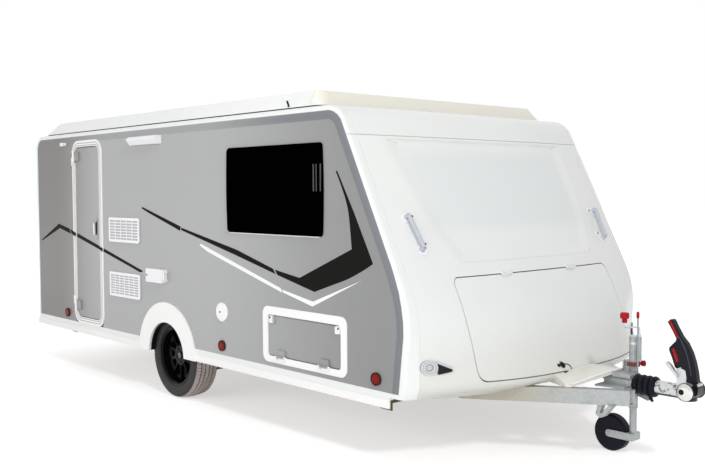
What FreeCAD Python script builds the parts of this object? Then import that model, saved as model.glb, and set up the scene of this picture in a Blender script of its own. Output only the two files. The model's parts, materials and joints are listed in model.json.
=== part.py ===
import FreeCAD, Part

import math
import os

V = FreeCAD.Vector

# Low touring caravan with a lifting roof. Sizes in millimetres.
# x runs forward, y to the left, z up from the ground. Places are measured from the axle
# and everything is moved by ORIGIN_X when it is written, so that the origin lies on the
# ground under the middle of the whole vehicle.

# Overall reaches from the axle
REAR_REACH = 2125.0
FRONT_REACH = 3315.0
REAR_GRIP_OUT = 41.0
ORIGIN_X = (FRONT_REACH - REAR_REACH - REAR_GRIP_OUT) / 2

# Body outline seen from the side
HALF_WIDTH = 1050.0
BODY_LOW = 356.0
ROOF_Z = 1896.0
WALL = 30.0
REAR_TOP_R = 110.0
FRONT_TOP_R = 170.0
KNEE_X = 2326.0
KNEE_Z = 812.0
KNEE_R = 530.0
SLANT_DEG = 26.6
TUCK_DEG = 6.8
EDGE_R = 34.0

# Bowed front seen from above
NOSE_X = 2636.0
NOSE_Z = 440.0
NOSE_SLANT_DEG = 29.7
NOSE_TUCK = 150.0
BOW_POWER = 2.6

# Panels and their joins
TRIM_W = 47.0
TRIM_RETURN = 65.0
FRONT_JOIN_X = 1625.0
REAR_JOIN_X = -REAR_REACH + 140.0
FLOOR_Z = 394.0
FLOOR_T = 40.0
SKIRT_LOW = 311.0
SKIRT_FRONT_X = 2181.0
SKIRT_T = 10.0
GAP = 5.0
SEAT = 0.3

# Entrance door in the right wall
DOOR_X0 = -1409.0
DOOR_X1 = -910.0
DOOR_Z0 = 392.0
DOOR_Z1 = 1828.0
DOOR_R = 100.0
HANDLE_X0 = -1040.0
HANDLE_X1 = -1000.0
HANDLE_Z0 = 1080.0
HANDLE_Z1 = 1210.0
HANDLE_R = 20.0
HANDLE_T = 4.0
HANDLE_OUT = 22.0
FRAME_W = 50.0
FRAME_PROUD = 6.0
DOOR_HINGE_Z = (535.0, 1705.0)
DOOR_HINGE_L = 70.0

# Hinges: barrel, pin and how far the pin stands off the skin
BARREL_R = 9.0
PIN_R = 4.0
PIN_FIT = 0.05
KNUCKLE_L = 12.0
STRAP_T = 5.0
STRAP_L = 70.0
SMALL_BARREL_R = 7.0
SMALL_PIN_R = 3.0
SMALL_BARREL_L = 60.0

# Windows
WIN_X0 = 761.0
WIN_X1 = 1670.0
WIN_Z0 = 1175.0
WIN_Z1 = 1693.0
WIN_R = 24.0
PANE_BULGE = 12.0
PANE_SIDE_R = 4000.0
PANE_T = 16.0
PANE_LAP = 14.0
LEFT_REAR_WIN_X0 = -1500.0
LEFT_REAR_WIN_X1 = -700.0
BACK_WIN_HALF = 560.0
BACK_WIN_Z0 = 1120.0
BACK_WIN_Z1 = 1640.0

# Side locker
LOCKER_X0 = 1114.0
LOCKER_X1 = 1865.0
LOCKER_Z0 = 420.0
LOCKER_Z1 = 751.0
LOCKER_R = 48.0
LOCKER_FRAME_W = 49.0
LOCKER_FRAME_LOW = 39.0
LOCKER_IN_R = 20.0
LOCKER_HINGE_X = 180.0
LOCKER_AXIS_UP = 41.0
LUG_W = 62.0
LUG_H = 42.0
LUG_R = 14.0
NECK_IN = 25.0

# Front locker lid: half widths at its two edges
LID_TOP_Z = 966.0
LID_LOW_Z = 453.0
LID_TOP_HALF = 702.0
LID_LOW_HALF = 712.0
LID_R = 40.0
LID_T = 18.0
LID_HINGE_Y = 300.0
LID_HINGE_OUT = 9.0
BULKHEAD_X = 2100.0
BULKHEAD_T = 15.0
SHELF_Z = 1010.0

# Shallow recess of the front above the lid, as (half width, height, corner radius)
RECESS = ((612.0, 1047.0, 80.0), (700.0, 1215.0, 200.0), (745.0, 1359.0, 300.0), (805.0, 1710.0, 20.0))
RECESS_DEEP = 9.0
CHIN_Z = 370.0

# Small fittings on the right wall
VENT_X0 = -798.0
VENT_X1 = -345.0
VENT_Z = (1058.0, 655.0)
VENT_H = 180.0
VENT_T = 12.0
VENT_CELLS = ((5, 7), (6, 8))
VENT_EDGE = 20.0
VENT_BAR = 8.0
VENT_DEEP = 6.0
VENT_R = 16.0
FILLER_X = 683.0
FILLER_Z = 668.0
FILLER_R = 60.0
FILLER_T = 14.0
SERVICE_X0 = -217.0
SERVICE_X1 = 13.0
SERVICE_Z0 = 800.0
SERVICE_Z1 = 894.0
SERVICE_D = 35.0
SERVICE_WALL = 10.0
FLAP_T = 8.0
FLAP_AXIS_X = 6.5
FLAP_AXIS_Y = 3.0
FLAP_BARREL_R = 6.0
FLAP_PIN_R = 2.5
FLAP_EAR_L = 10.0
AWNING_X0 = -430.0
AWNING_X1 = -36.0
AWNING_Z0 = 1755.0
AWNING_Z1 = 1814.0
AWNING_D = 60.0
SMALL_LAMP = (-1585.0, -1520.0, 1795.0, 1823.0, 25.0)
MARKER_X = (-1539.0, 678.0, 2091.0)
MARKER_Z = 454.0
MARKER_R = 33.0
MARKER_T = 14.0

# Lamps and grab handles
LAMP_IN = 102.0
LAMP_Z = 537.0
LAMP_R = 38.0
LAMP_PROUD = 8.0
LAMP_TAIL = ((132.0, 563.0, 6.0), (140.0, 500.0, 6.0), (208.0, 514.0, 4.0), (208.0, 526.0, 4.0))
REAR_LAMP = (HALF_WIDTH - 320.0, HALF_WIDTH - 110.0, 470.0, 700.0)
REAR_LAMP_R = 30.0
REAR_LAMP_T = 28.0
GRAB_LOW = (HALF_WIDTH - 210.0, 1118.0)
GRAB_HIGH = (HALF_WIDTH - 188.0, 1285.0)
REAR_GRAB_Y = HALF_WIDTH - 190.0
REAR_GRAB_Z = (900.0, 1080.0)
GRAB_FOOT_R = 13.0
GRAB_BAR_R = 11.0
GRAB_OUT = 30.0

# Wheels and arches
TYRE_R = 291.5
TYRE_W = 185.0
RIM_R = 205.0
RIM_SEAT_R = 190.5
BEAD_IN = 16.0
FLANGE_T = 6.0
WHEEL_Y = HALF_WIDTH - 143.0
ARCH_R = 368.0
ARCH_INNER_R = 229.0
ARCH_Z = 302.0
ARCH_T = 12.0
ARCH_RETURN = 42.0
ARCH_RETURN_T = 10.0
BOX_R = 345.0
BOX_T = 5.0
BOX_Y = HALF_WIDTH - 290.0
SPOKES = 10
HUB_R = 68.0
HUB_OUT = 42.0
CAP_DISC_R = 25.0
SPOKE_Y = 14.0
SPOKE_T = 24.0
SPOKE_IN = 11.0
SPOKE_OUT = 7.0
DRUM_R = 118.0
DRUM_W = 70.0
STUB_R = 20.0
STUB_FIT = 0.06

# Axle
AXLE_TUBE_X = 170.0
AXLE_TUBE_Z = 236.0
AXLE_TUBE_R = 45.0
ARM_T = 30.0
ARM_Y = HALF_WIDTH - 280.0
ARM_END_R = 40.0
ARM_TIP_R = 32.0
AXLE_TUBE_T = 8.0
STUB_OUT = 40.0

# Chassis and drawbar
RAIL_Y = 600.0
RAIL_H = 80.0
RAIL_W = 45.0
RAIL_T = 5.0
RAIL_REAR_X = -1950.0
RAIL_FRONT_X = 2290.0
ARM_TIP_X = 2990.0
ARM_TIP_Y = 116.0
CROSS_X = (-1700.0, -600.0, 900.0)
DRAWBAR_GAP = 490.0
COVER_PLAN = ((2560.0, 215.0, 0.0), (2740.0, 279.0, 40.0), (2785.0, 255.0, 20.0))
COVER_H = 46.0
COVER_T = 4.0
BRACKET_OUT = ((2848.0, 317.0, 0.0), (2833.0, 259.0, 8.0), (2860.0, 241.0, 14.0), (2883.0, 253.0, 8.0),
               (2938.0, 317.0, 0.0))
BRACKET_IN = ((2876.0, 318.0, 0.0), (2860.0, 270.0, 4.0), (2868.0, 264.0, 4.0), (2912.0, 318.0, 0.0))
BRACKET_Y = (-185.0, -150.0)

# Overrun and coupling
SHAFT_Z = 410.0
SHAFT_R = 25.0
HOUSING_X0 = 2792.0
HOUSING_X1 = 2954.0
HOUSING_R = 44.0
PLATE_T = 8.0
PLATE_HALF = 140.0
GAITER_X0 = 2954.0
GAITER_X1 = 3082.0
GAITER_R = 54.0
GAITER_FOLDS = 4
FOLD_DEEP = 14.0
BALL_X = 3250.0
BALL_R = 25.0
HEAD_R = 42.0
NECK_R = 37.0
SOCKET_DEEP = 38.0
PAD_X = 3256.0
PAD_Z = 420.0
PAD_R = 44.0
PAD_HALF = 60.0
CHEEK_T = 5.0
CHEEK_Y = 17.0
CHEEK = ((3195.0, 516.0), (3215.0, 531.0), (3242.0, 522.0), (3248.0, 490.0), (3247.0, 436.0),
         (3196.0, 436.0))
CORE = ((3193.0, 522.0), (3215.0, 535.0), (3226.0, 516.0), (3243.0, 458.0), (3243.0, 436.0),
        (3196.0, 436.0))
NOSE_HALF = 28.0
NOSE = ((3271.0, 450.0, 0.0), (3309.0, 464.0, 5.0), (3315.0, 439.0, 8.0), (3310.0, 409.0, 8.0),
        (3280.0, 393.0, 6.0), (3260.0, 420.0, 0.0))
RELEASE = ((3139.0, 551.0), (3153.0, 558.0), (3171.0, 544.0), (3209.0, 494.0), (3204.0, 484.0))
RELEASE_Y = (-40.0, -20.0)
HANDLE_HALF = 16.0
HANDLE = ((3141.0, 757.0), (3157.0, 771.0), (3169.0, 769.0), (3189.0, 732.0), (3217.0, 687.0),
          (3245.0, 657.0), (3269.0, 612.0), (3285.0, 566.0), (3297.0, 513.0), (3303.0, 470.0),
          (3283.0, 452.0), (3244.0, 461.0), (3228.0, 518.0), (3215.0, 538.0), (3192.0, 524.0),
          (3182.0, 534.0), (3167.0, 576.0), (3151.0, 612.0), (3151.0, 627.0), (3167.0, 644.0),
          (3186.0, 663.0), (3190.0, 676.0), (3170.0, 711.0))

# Jockey wheel
JOCKEY_X = 2885.0
JOCKEY_Y = 96.0
JOCKEY_TUBE_R = 24.0
JOCKEY_TOP_Z = 640.0
JOCKEY_TUBE_LOW = 262.0
JOCKEY_STEM_R = 19.0
JOCKEY_WHEEL_R = 100.0
JOCKEY_WHEEL_W = 60.0
JOCKEY_TRAIL = 124.0
JOCKEY_CRANK_Z = 697.0
JOCKEY_CLAMP_Z = 480.0
JOCKEY_CLAMP_H = 28.0
CRANK_KNOB_X = 42.0
CRANK_KNOB_Y = -162.0
FORK_ARM_H = 40.0
FORK_ARM_T = 5.0
FORK_GAP = 5.0
FORK_PIN_R = 8.0
TREAD_EDGE = 9.0
CLAMP_T = 8.0
CLAMP_BACK = 52.0
CLAMP_Y0 = -24.0
CLAMP_Y1 = 64.0
CRANK_R = 6.0
KNOB_R = 15.0
SLIM_TUBE_R = 12.0
LEVER_X = 2946.0
LEVER_Y = 30.0
LEVER_TOP_Z = 785.0
LEVER_R = 6.0
LEVER_GRIP_R = 9.0
LEVER_GRIP_L = 70.0

# Corner steadies
STEADY_X = (-1800.0, 1980.0)
STEADY_Y = 560.0
STEADY_L = 330.0
STEADY_Z = 291.0
STEADY_HEEL_R = 13.0
STEADY_W = 40.0
STEADY_PIN_R = 6.0
STEADY_WALL = 4.0
STEADY_EAR = 6.0
STEADY_EAR_HALF = 18.0
FOOT_HALF = 45.0

# Lifting roof
CAP_LOW_Z = ROOF_Z + 8.0
CAP_TOP_Z = ROOF_Z + 95.0
CAP_LOW = (-REAR_REACH + 125.0, 1607.0, HALF_WIDTH - 42.0)
CAP_TOP = (-REAR_REACH + 285.0, 1541.0, HALF_WIDTH - 79.0)
CAP_R = 60.0
CAP_T = 22.0
HATCH = (-REAR_REACH + 375.0, 1400.0, HALF_WIDTH - 230.0)
BELLOWS_OUT = 24.0
BELLOWS_T = 6.0
BELLOWS_H = 40.0
SEAL_W = 30.0
SEAL_BACK = 20.0


def box(x0, x1, y0, y1, z0, z1):
    return Part.makeBox(x1 - x0, y1 - y0, z1 - z0, V(x0, y0, z0))


def rod(start, end, radius):
    along = end - start
    return Part.makeCylinder(radius, along.Length, start, along)


def tube(start, end, radius, bore):
    return rod(start, end, radius).cut(rod(start, end, bore))


def on_x(x):
    return lambda u, v: V(x, u, v)


def on_y(y):
    return lambda u, v: V(u, y, v)


def on_z(z):
    return lambda u, v: V(u, v, z)


def rounded_wire(corners, place):
    """A closed wire through corners (u, v, radius), each rounded by an arc."""
    edges = []
    starts = []
    ends = []
    count = len(corners)
    for i in range(count):
        u, v, r = corners[i]
        pu, pv = corners[i - 1][:2]
        nu, nv = corners[(i + 1) % count][:2]
        here = V(u, v, 0)
        to_prev = (V(pu, pv, 0) - here).normalize()
        to_next = (V(nu, nv, 0) - here).normalize()
        half = to_prev.getAngle(to_next) / 2
        if r <= 0:
            starts.append(here)
            ends.append(here)
            edges.append(None)
            continue
        reach = r / math.tan(half)
        start = here + to_prev * reach
        end = here + to_next * reach
        centre = here + (to_prev + to_next).normalize() * (r / math.sin(half))
        middle = centre + (here - centre).normalize() * r
        starts.append(start)
        ends.append(end)
        edges.append(Part.Arc(*(place(p.x, p.y) for p in (start, middle, end))).toShape())
    wire = []
    for i in range(count):
        if edges[i]:
            wire.append(edges[i])
        a = ends[i]
        b = starts[(i + 1) % count]
        if (a - b).Length > 1e-6:
            wire.append(Part.makeLine(place(a.x, a.y), place(b.x, b.y)))
    return Part.Wire(wire)


def slab(corners, place, along):
    return Part.Face(rounded_wire(corners, place)).extrude(along)


def rect(u0, u1, v0, v1, r=0.0):
    return [(u0, v0, r), (u1, v0, r), (u1, v1, r), (u0, v1, r)]


def mirrored(shape):
    return shape.mirror(V(0, 0, 0), V(0, 1, 0))


def both_sides(shape):
    return Part.makeCompound([shape, mirrored(shape)])


def joined(shapes):
    result = shapes[0]
    if len(shapes) > 1:
        result = result.fuse(shapes[1:])
    return result.removeSplitter()


def write(node, shape):
    moved = shape.copy()
    moved.translate(V(-ORIGIN_X, 0, 0))
    moved.exportStep("parts/" + node + ".step")


# Side outline as corners (x, z, radius), drawn in by a distance

def side_corners(inset=0.0, low=BODY_LOW):
    slant = math.radians(SLANT_DEG)
    tuck = math.radians(TUCK_DEG)
    top = ROOF_Z - inset
    rear = -REAR_REACH + inset
    # Upper front line through the knee, moved in along its normal
    upper_x = KNEE_X - inset / math.cos(slant)
    lower_x = KNEE_X - inset / math.cos(tuck)
    knee_up = (lower_x - upper_x) / (math.tan(slant) + math.tan(tuck))
    knee_z = KNEE_Z - knee_up
    knee_x = lower_x - knee_up * math.tan(tuck)
    top_x = upper_x - (top - KNEE_Z) * math.tan(slant)
    low_x = lower_x - (KNEE_Z - low) * math.tan(tuck)
    return [
        (rear, low, 0.0),
        (low_x, low, 0.0),
        (knee_x, knee_z, KNEE_R - inset),
        (top_x, top, FRONT_TOP_R - inset),
        (rear, top, REAR_TOP_R - inset),
    ]


def side_x(z, inset):
    """Where the front of the side outline lies at a height, its knee rounded."""
    slant = math.radians(SLANT_DEG)
    tuck = math.radians(TUCK_DEG)
    knee_x, knee_z, radius = side_corners(inset)[2]
    reach = radius * math.tan((slant + tuck) / 2)
    up_x = knee_x - reach * math.sin(slant)
    up_z = knee_z + reach * math.cos(slant)
    low_z = knee_z - reach * math.cos(tuck)
    if z >= up_z:
        return up_x - (z - up_z) * math.tan(slant)
    if z <= low_z:
        return knee_x - (knee_z - z) * math.tan(tuck)
    centre_x = up_x - radius * math.cos(slant)
    centre_z = up_z - radius * math.sin(slant)
    return centre_x + math.sqrt(radius ** 2 - (z - centre_z) ** 2)


def nose_x(z, inset):
    """Where the middle of the bowed front lies at a height."""
    slant = math.radians(NOSE_SLANT_DEG)
    skin = inset / math.cos(slant)
    if z >= NOSE_Z:
        return NOSE_X - skin - (z - NOSE_Z) * math.tan(slant)
    fall = min(1.0, (NOSE_Z - z) / (NOSE_Z - BODY_LOW))
    return NOSE_X - skin - NOSE_TUCK * fall ** 2


def front_x(y, z, inset=0.0):
    share = max(0.0, 1 - (abs(y) / HALF_WIDTH) ** BOW_POWER)
    side = side_x(z, inset)
    return side + (nose_x(z, inset) - side) * share


def curve_through(values):
    """A smooth curve through (place, value) pairs, its parameter being the place."""
    curve = Part.BSplineCurve()
    curve.interpolate(Points=[V(value, place, 0) for place, value in values],
                      Parameters=[place for place, value in values])
    return curve


def front_skin(inset, low):
    """The bowed front: its side line and its middle line, mixed by the bow across the width."""
    heights = [low - 36, BODY_LOW, (BODY_LOW + NOSE_Z) / 2, NOSE_Z]
    heights += [NOSE_Z + (ROOF_Z - NOSE_Z) * share for share in (0.04, 0.11, 0.19, 0.28, 0.385, 0.52, 0.73)]
    heights.append(ROOF_Z + 40)
    shares = (-1.03, -0.9, -0.75, -0.5, -0.25, 0.0, 0.25, 0.5, 0.75, 0.9, 1.03)
    side = curve_through([(z, side_x(z, inset)) for z in heights])
    nose = curve_through([(z, nose_x(z, inset)) for z in heights])
    bow = curve_through([(s * HALF_WIDTH, 1 - abs(s) ** BOW_POWER) for s in shares])
    poles = [[V(a.x + (b.x - a.x) * c.x, c.y, a.y) for c in bow.getPoles()]
             for a, b in zip(side.getPoles(), nose.getPoles())]
    skin = Part.BSplineSurface()
    skin.buildFromPolesMultsKnots(poles, side.getMultiplicities(), bow.getMultiplicities(),
                                  side.getKnots(), bow.getKnots(), False, False,
                                  side.Degree, bow.Degree)
    return skin


def body_form(inset, low):
    """The body as one solid, all its faces drawn in by the same distance."""
    skin = front_skin(inset, low)
    length = 2 * (REAR_REACH + NOSE_X)
    prism = skin.toShape().extrude(V(-length, 0, 0))
    half = HALF_WIDTH - inset
    room = box(-REAR_REACH + inset, NOSE_X + 200, -half, half, low, ROOF_Z - inset)
    form = room.common(prism)
    front_top = [e for e in form.Edges if is_front_top(e, ROOF_Z - inset, half)]
    form = form.makeFillet(FRONT_TOP_R - inset, front_top)
    rear_top = [e for e in form.Edges if is_rear_top(e, ROOF_Z - inset, inset)]
    return form.makeFillet(REAR_TOP_R - inset, rear_top)


def is_front_top(edge, top, half):
    bounds = edge.BoundBox
    return bounds.ZMin > top - 1 and bounds.XMin > 1000 and bounds.YLength > half


def is_rear_top(edge, top, inset):
    bounds = edge.BoundBox
    return bounds.ZMin > top - 1 and bounds.XMax < -REAR_REACH + inset + 1


def is_side_edge(edge):
    bounds = edge.BoundBox
    flat = bounds.YLength < 1
    return flat and abs(abs(bounds.YMin) - HALF_WIDTH) < 1 and bounds.ZMax > BODY_LOW + 1


os.makedirs("parts", exist_ok=True)

# Body shell, then cut into the panels of the real one

outer = body_form(0.0, BODY_LOW)
outer = outer.makeFillet(EDGE_R, [e for e in outer.Edges if is_side_edge(e)])
inner = body_form(WALL, BODY_LOW - 60)
shell = outer.cut(inner)

SPAN = HALF_WIDTH - TRIM_RETURN
WALL_IN = HALF_WIDTH - WALL
FAR = REAR_REACH + FRONT_REACH


def between(x0, x1, y0, y1, z0=0.0, z1=ROOF_Z + 100):
    return box(x0, x1, y0, y1, z0, z1)


wall = slab(side_corners(TRIM_W, FLOOR_Z), on_y(WALL_IN), V(0, WALL, 0))
trim = shell.common(between(-FAR, FAR, SPAN, HALF_WIDTH + 1))
trim = trim.cut(slab(side_corners(TRIM_W, FLOOR_Z), on_y(WALL_IN), V(0, WALL + 5, 0)))

arch_opening = rod(V(0, WALL_IN - 1, ARCH_Z), V(0, HALF_WIDTH + 1, ARCH_Z), BOX_R)
arch_gap = rod(V(0, SPAN - 1, ARCH_Z), V(0, HALF_WIDTH + 1, ARCH_Z), BOX_R)
trim = trim.cut([arch_opening, arch_gap.common(between(-ARCH_R, ARCH_R, 0, FAR, 0, FLOOR_Z))])
chin = between(SKIRT_FRONT_X + GAP, FAR, -FAR, FAR, 0, CHIN_Z)
trim = trim.cut(chin)

front_window_hole = slab(rect(WIN_X0 + PANE_LAP, WIN_X1 - PANE_LAP, WIN_Z0 + PANE_LAP,
                              WIN_Z1 - PANE_LAP, WIN_R - PANE_LAP), on_y(WALL_IN - 1), V(0, WALL + 2, 0))
rear_window_hole = slab(rect(LEFT_REAR_WIN_X0 + PANE_LAP, LEFT_REAR_WIN_X1 - PANE_LAP,
                             WIN_Z0 + PANE_LAP, WIN_Z1 - PANE_LAP, WIN_R - PANE_LAP),
                        on_y(WALL_IN - 1), V(0, WALL + 2, 0))
door_hole = slab(rect(DOOR_X0 + FRAME_W / 2, DOOR_X1 - FRAME_W / 2, DOOR_Z0 - 60,
                      DOOR_Z1 - FRAME_W / 2, DOOR_R - FRAME_W / 2), on_y(WALL_IN - 40), V(0, WALL + 42, 0))
locker_hole = slab(rect(LOCKER_X0 + NECK_IN, LOCKER_X1 - NECK_IN, LOCKER_Z0 + NECK_IN, LOCKER_Z1 - NECK_IN,
                        LOCKER_R - NECK_IN), on_y(WALL_IN - 1), V(0, WALL + 2, 0))

left_wall = wall.cut([arch_opening, front_window_hole, rear_window_hole])
right_wall = mirrored(wall.cut([arch_opening, front_window_hole, door_hole, locker_hole]))
write("side_wall_left", left_wall)
write("side_wall_right", right_wall)

right_trim = mirrored(trim)
write("edge_trims", Part.makeCompound([trim, right_trim]))

mid = shell.common(between(-FAR, FAR, -SPAN, SPAN))
hatch = box(HATCH[0], HATCH[1], -HATCH[2], HATCH[2], ROOF_Z - WALL - 1, ROOF_Z + 1)
roof = mid.common(between(REAR_JOIN_X, FRONT_JOIN_X, -SPAN, SPAN, ROOF_Z - WALL - 1)).cut(hatch)
back_hole = slab(rect(-BACK_WIN_HALF + PANE_LAP, BACK_WIN_HALF - PANE_LAP, BACK_WIN_Z0 + PANE_LAP,
                      BACK_WIN_Z1 - PANE_LAP, WIN_R - PANE_LAP),
                 on_x(-REAR_REACH - 1), V(WALL + 2, 0, 0))
rear = mid.common(between(-FAR, REAR_JOIN_X, -SPAN, SPAN)).cut(back_hole)
write("roof_panel", roof)
write("rear_panel", rear)


def lid_corners(grow=0.0):
    return [
        (-LID_LOW_HALF - grow, LID_LOW_Z - grow, LID_R),
        (LID_LOW_HALF + grow, LID_LOW_Z - grow, LID_R),
        (LID_TOP_HALF + grow, LID_TOP_Z + grow, LID_R),
        (-LID_TOP_HALF - grow, LID_TOP_Z + grow, LID_R),
    ]


recess_corners = [(half, z, r) for half, z, r in RECESS]
recess_corners += [(-half, z, r) for half, z, r in reversed(RECESS)]
recess = slab(recess_corners, on_x(FRONT_JOIN_X), V(NOSE_X, 0, 0))
recess = recess.cut(body_form(RECESS_DEEP, BODY_LOW - 60))

front = mid.common(between(FRONT_JOIN_X, FAR, -SPAN, SPAN))
lid_hole = slab(lid_corners(GAP), on_x(FRONT_JOIN_X), V(NOSE_X, 0, 0))
drawbar_way = box(RAIL_FRONT_X, FAR, -DRAWBAR_GAP, DRAWBAR_GAP, 0, FLOOR_Z + 6)
front = front.cut([lid_hole, drawbar_way, chin, recess])
lid_back = body_form(LID_T, BODY_LOW - 60)
lid = outer.cut(lid_back).common(slab(lid_corners(), on_x(FRONT_JOIN_X), V(NOSE_X, 0, 0)))

# Front locker hinge: pin on the shell's edge, barrel on the lid

lid_axis_z = LID_TOP_Z + GAP / 2
lid_axis_x = front_x(0, lid_axis_z) + LID_HINGE_OUT
lid_pins = []
lid_barrels = []
half_barrel = V(0, SMALL_BARREL_L / 2, 0)
half_hinge = V(0, SMALL_BARREL_L / 2 + KNUCKLE_L, 0)
for y in (-LID_HINGE_Y, LID_HINGE_Y):
    middle = V(lid_axis_x, y, lid_axis_z)
    barrel = tube(middle - half_barrel, middle + half_barrel, SMALL_BARREL_R, SMALL_PIN_R + PIN_FIT)
    strap = box(lid_axis_x - 18, lid_axis_x, y - half_barrel.y, y + half_barrel.y, lid_axis_z - 14,
                lid_axis_z - SMALL_PIN_R - 0.5)
    strap = strap.cut(rod(middle - half_barrel, middle + half_barrel, SMALL_BARREL_R - 1))
    lid_barrels += [barrel, strap]
    lid_pins.append(rod(middle - half_hinge, middle + half_hinge, SMALL_PIN_R))
    for a, b in ((y - half_hinge.y, y - half_barrel.y - SEAT), (y + half_barrel.y + SEAT, y + half_hinge.y)):
        ear = rod(V(lid_axis_x, a, lid_axis_z), V(lid_axis_x, b, lid_axis_z), SMALL_BARREL_R)
        root = box(lid_axis_x - 26, lid_axis_x, a, b, lid_axis_z + SMALL_PIN_R + 0.5, lid_axis_z + 14)
        lid_pins += [ear, root]
front = joined([front] + lid_pins)
lid = joined([lid] + lid_barrels)
write("front_shell", front)
write("front_locker_lid", lid)

bulkhead = box(BULKHEAD_X, BULKHEAD_X + BULKHEAD_T, -WALL_IN, WALL_IN, FLOOR_Z + FLOOR_T, SHELF_Z)
shelf = box(BULKHEAD_X, NOSE_X, -WALL_IN, WALL_IN, SHELF_Z, SHELF_Z + BULKHEAD_T)
write("front_bulkhead", joined([bulkhead, shelf]).common(inner))

floor = inner.common(between(-FAR, FAR, -FAR, FAR, FLOOR_Z, FLOOR_Z + FLOOR_T))
for side in (-1, 1):
    cut_y = sorted((side * (BOX_Y - BOX_T), side * FAR))
    floor = floor.cut(between(-BOX_R - BOX_T, BOX_R + BOX_T, cut_y[0], cut_y[1]))
write("floor_panel", floor)

# Wheel boxes, arches and skirts

box_out = BOX_R + BOX_T
cavity = rod(V(0, BOX_Y, ARCH_Z), V(0, WALL_IN, ARCH_Z), BOX_R)
wheel_box = rod(V(0, BOX_Y - BOX_T, ARCH_Z), V(0, WALL_IN, ARCH_Z), box_out).cut(cavity)
wheel_box = wheel_box.common(between(-FAR, FAR, 0, FAR, FLOOR_Z, ROOF_Z))
write("wheel_boxes", both_sides(wheel_box))



def disc_at_arch(y, thick, radius):
    return rod(V(0, y, ARCH_Z), V(0, y + thick, ARCH_Z), radius)


arch_plate = disc_at_arch(HALF_WIDTH, ARCH_T, ARCH_R)
arch_return = disc_at_arch(HALF_WIDTH - ARCH_RETURN, ARCH_RETURN, ARCH_INNER_R + ARCH_RETURN_T)
arch_void = disc_at_arch(HALF_WIDTH - ARCH_RETURN - 1, ARCH_RETURN + ARCH_T + 2, ARCH_INNER_R)
arch = joined([arch_plate, arch_return]).cut(arch_void)
arch = arch.common(between(-FAR, FAR, 0, FAR, SKIRT_LOW, ROOF_Z))
write("wheel_arches", both_sides(arch))

skirt_y = HALF_WIDTH - SKIRT_T
skirt_front = box(ARCH_R - 40, SKIRT_FRONT_X, skirt_y, HALF_WIDTH, SKIRT_LOW, BODY_LOW)
skirt_rear = box(-REAR_REACH, -ARCH_R + 40, skirt_y, HALF_WIDTH, SKIRT_LOW, BODY_LOW)
skirts = [skirt_front, skirt_rear]
write("skirts", Part.makeCompound(skirts + [mirrored(s) for s in skirts]))

# Windows: hinged acrylic panes that lap the wall outside


def side_pane(x0, x1):
    middle = (WIN_Z0 + WIN_Z1) / 2
    corners = [(x0, WIN_Z0, WIN_R), (x1, WIN_Z0, WIN_R), (x1 + PANE_BULGE, middle, PANE_SIDE_R),
               (x1, WIN_Z1, WIN_R), (x0, WIN_Z1, WIN_R), (x0 - PANE_BULGE, middle, PANE_SIDE_R)]
    pane = slab(corners, on_y(HALF_WIDTH), V(0, PANE_T, 0))
    outer_edges = [e for e in pane.Edges if e.BoundBox.YMin > HALF_WIDTH + PANE_T - 1]
    return pane.makeChamfer(PANE_T * 0.45, outer_edges)


back_pane = slab(rect(-BACK_WIN_HALF, BACK_WIN_HALF, BACK_WIN_Z0, BACK_WIN_Z1, WIN_R),
                 on_x(-REAR_REACH - PANE_T), V(PANE_T, 0, 0))
write("windows", Part.makeCompound([
    mirrored(side_pane(WIN_X0, WIN_X1)),
    side_pane(WIN_X0, WIN_X1),
    side_pane(LEFT_REAR_WIN_X0, LEFT_REAR_WIN_X1),
    back_pane,
]))

# Door, frame and hinges on the right wall; drawn on the left and mirrored

frame_out = HALF_WIDTH + FRAME_PROUD
frame_ring = slab(rect(DOOR_X0, DOOR_X1, DOOR_Z0, DOOR_Z1, DOOR_R), on_y(HALF_WIDTH), V(0, FRAME_PROUD, 0))
frame_neck = slab(rect(DOOR_X0 + FRAME_W / 2, DOOR_X1 - FRAME_W / 2, FLOOR_Z, DOOR_Z1 - FRAME_W / 2,
                       DOOR_R - FRAME_W / 2), on_y(WALL_IN), V(0, WALL, 0))
leaf_hole = slab(rect(DOOR_X0 + FRAME_W, DOOR_X1 - FRAME_W, DOOR_Z0 + FRAME_W, DOOR_Z1 - FRAME_W,
                      DOOR_R - FRAME_W), on_y(WALL_IN - 1), V(0, WALL + FRAME_PROUD + 2, 0))
door_frame = frame_ring.fuse(frame_neck).cut(leaf_hole)

door_axis_x = DOOR_X0 + FRAME_W - 2.0
door_axis_y = frame_out + BARREL_R + 2.0
leaf = slab(rect(DOOR_X0 + FRAME_W + GAP, DOOR_X1 - FRAME_W - GAP, DOOR_Z0 + FRAME_W + GAP,
                 DOOR_Z1 - FRAME_W - GAP, DOOR_R - FRAME_W - GAP), on_y(WALL_IN), V(0, WALL, 0))
leaf_parts = [leaf]
frame_parts = [door_frame]
for z in DOOR_HINGE_Z:
    low = V(door_axis_x, door_axis_y, z - DOOR_HINGE_L / 2)
    high = V(door_axis_x, door_axis_y, z + DOOR_HINGE_L / 2)
    back_y = door_axis_y - BARREL_R
    barrel = tube(low, high, BARREL_R, PIN_R + PIN_FIT)
    strap = box(door_axis_x + BARREL_R - 3, door_axis_x + STRAP_L, back_y, back_y + STRAP_T, low.z, high.z)
    post = box(door_axis_x + 12, door_axis_x + STRAP_L, HALF_WIDTH, back_y + STRAP_T, low.z, high.z)
    leaf_parts += [barrel, strap.fuse(post)]
    knuckle = V(0, 0, KNUCKLE_L)
    seat = V(0, 0, SEAT)
    frame_parts.append(rod(low - knuckle, high + knuckle, PIN_R))
    for a, b in ((low - knuckle, low - seat), (high + seat, high + knuckle)):
        frame_parts.append(rod(a, b, BARREL_R))
        frame_parts.append(box(door_axis_x - 30, door_axis_x, frame_out - 1, door_axis_y, a.z, b.z))
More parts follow.
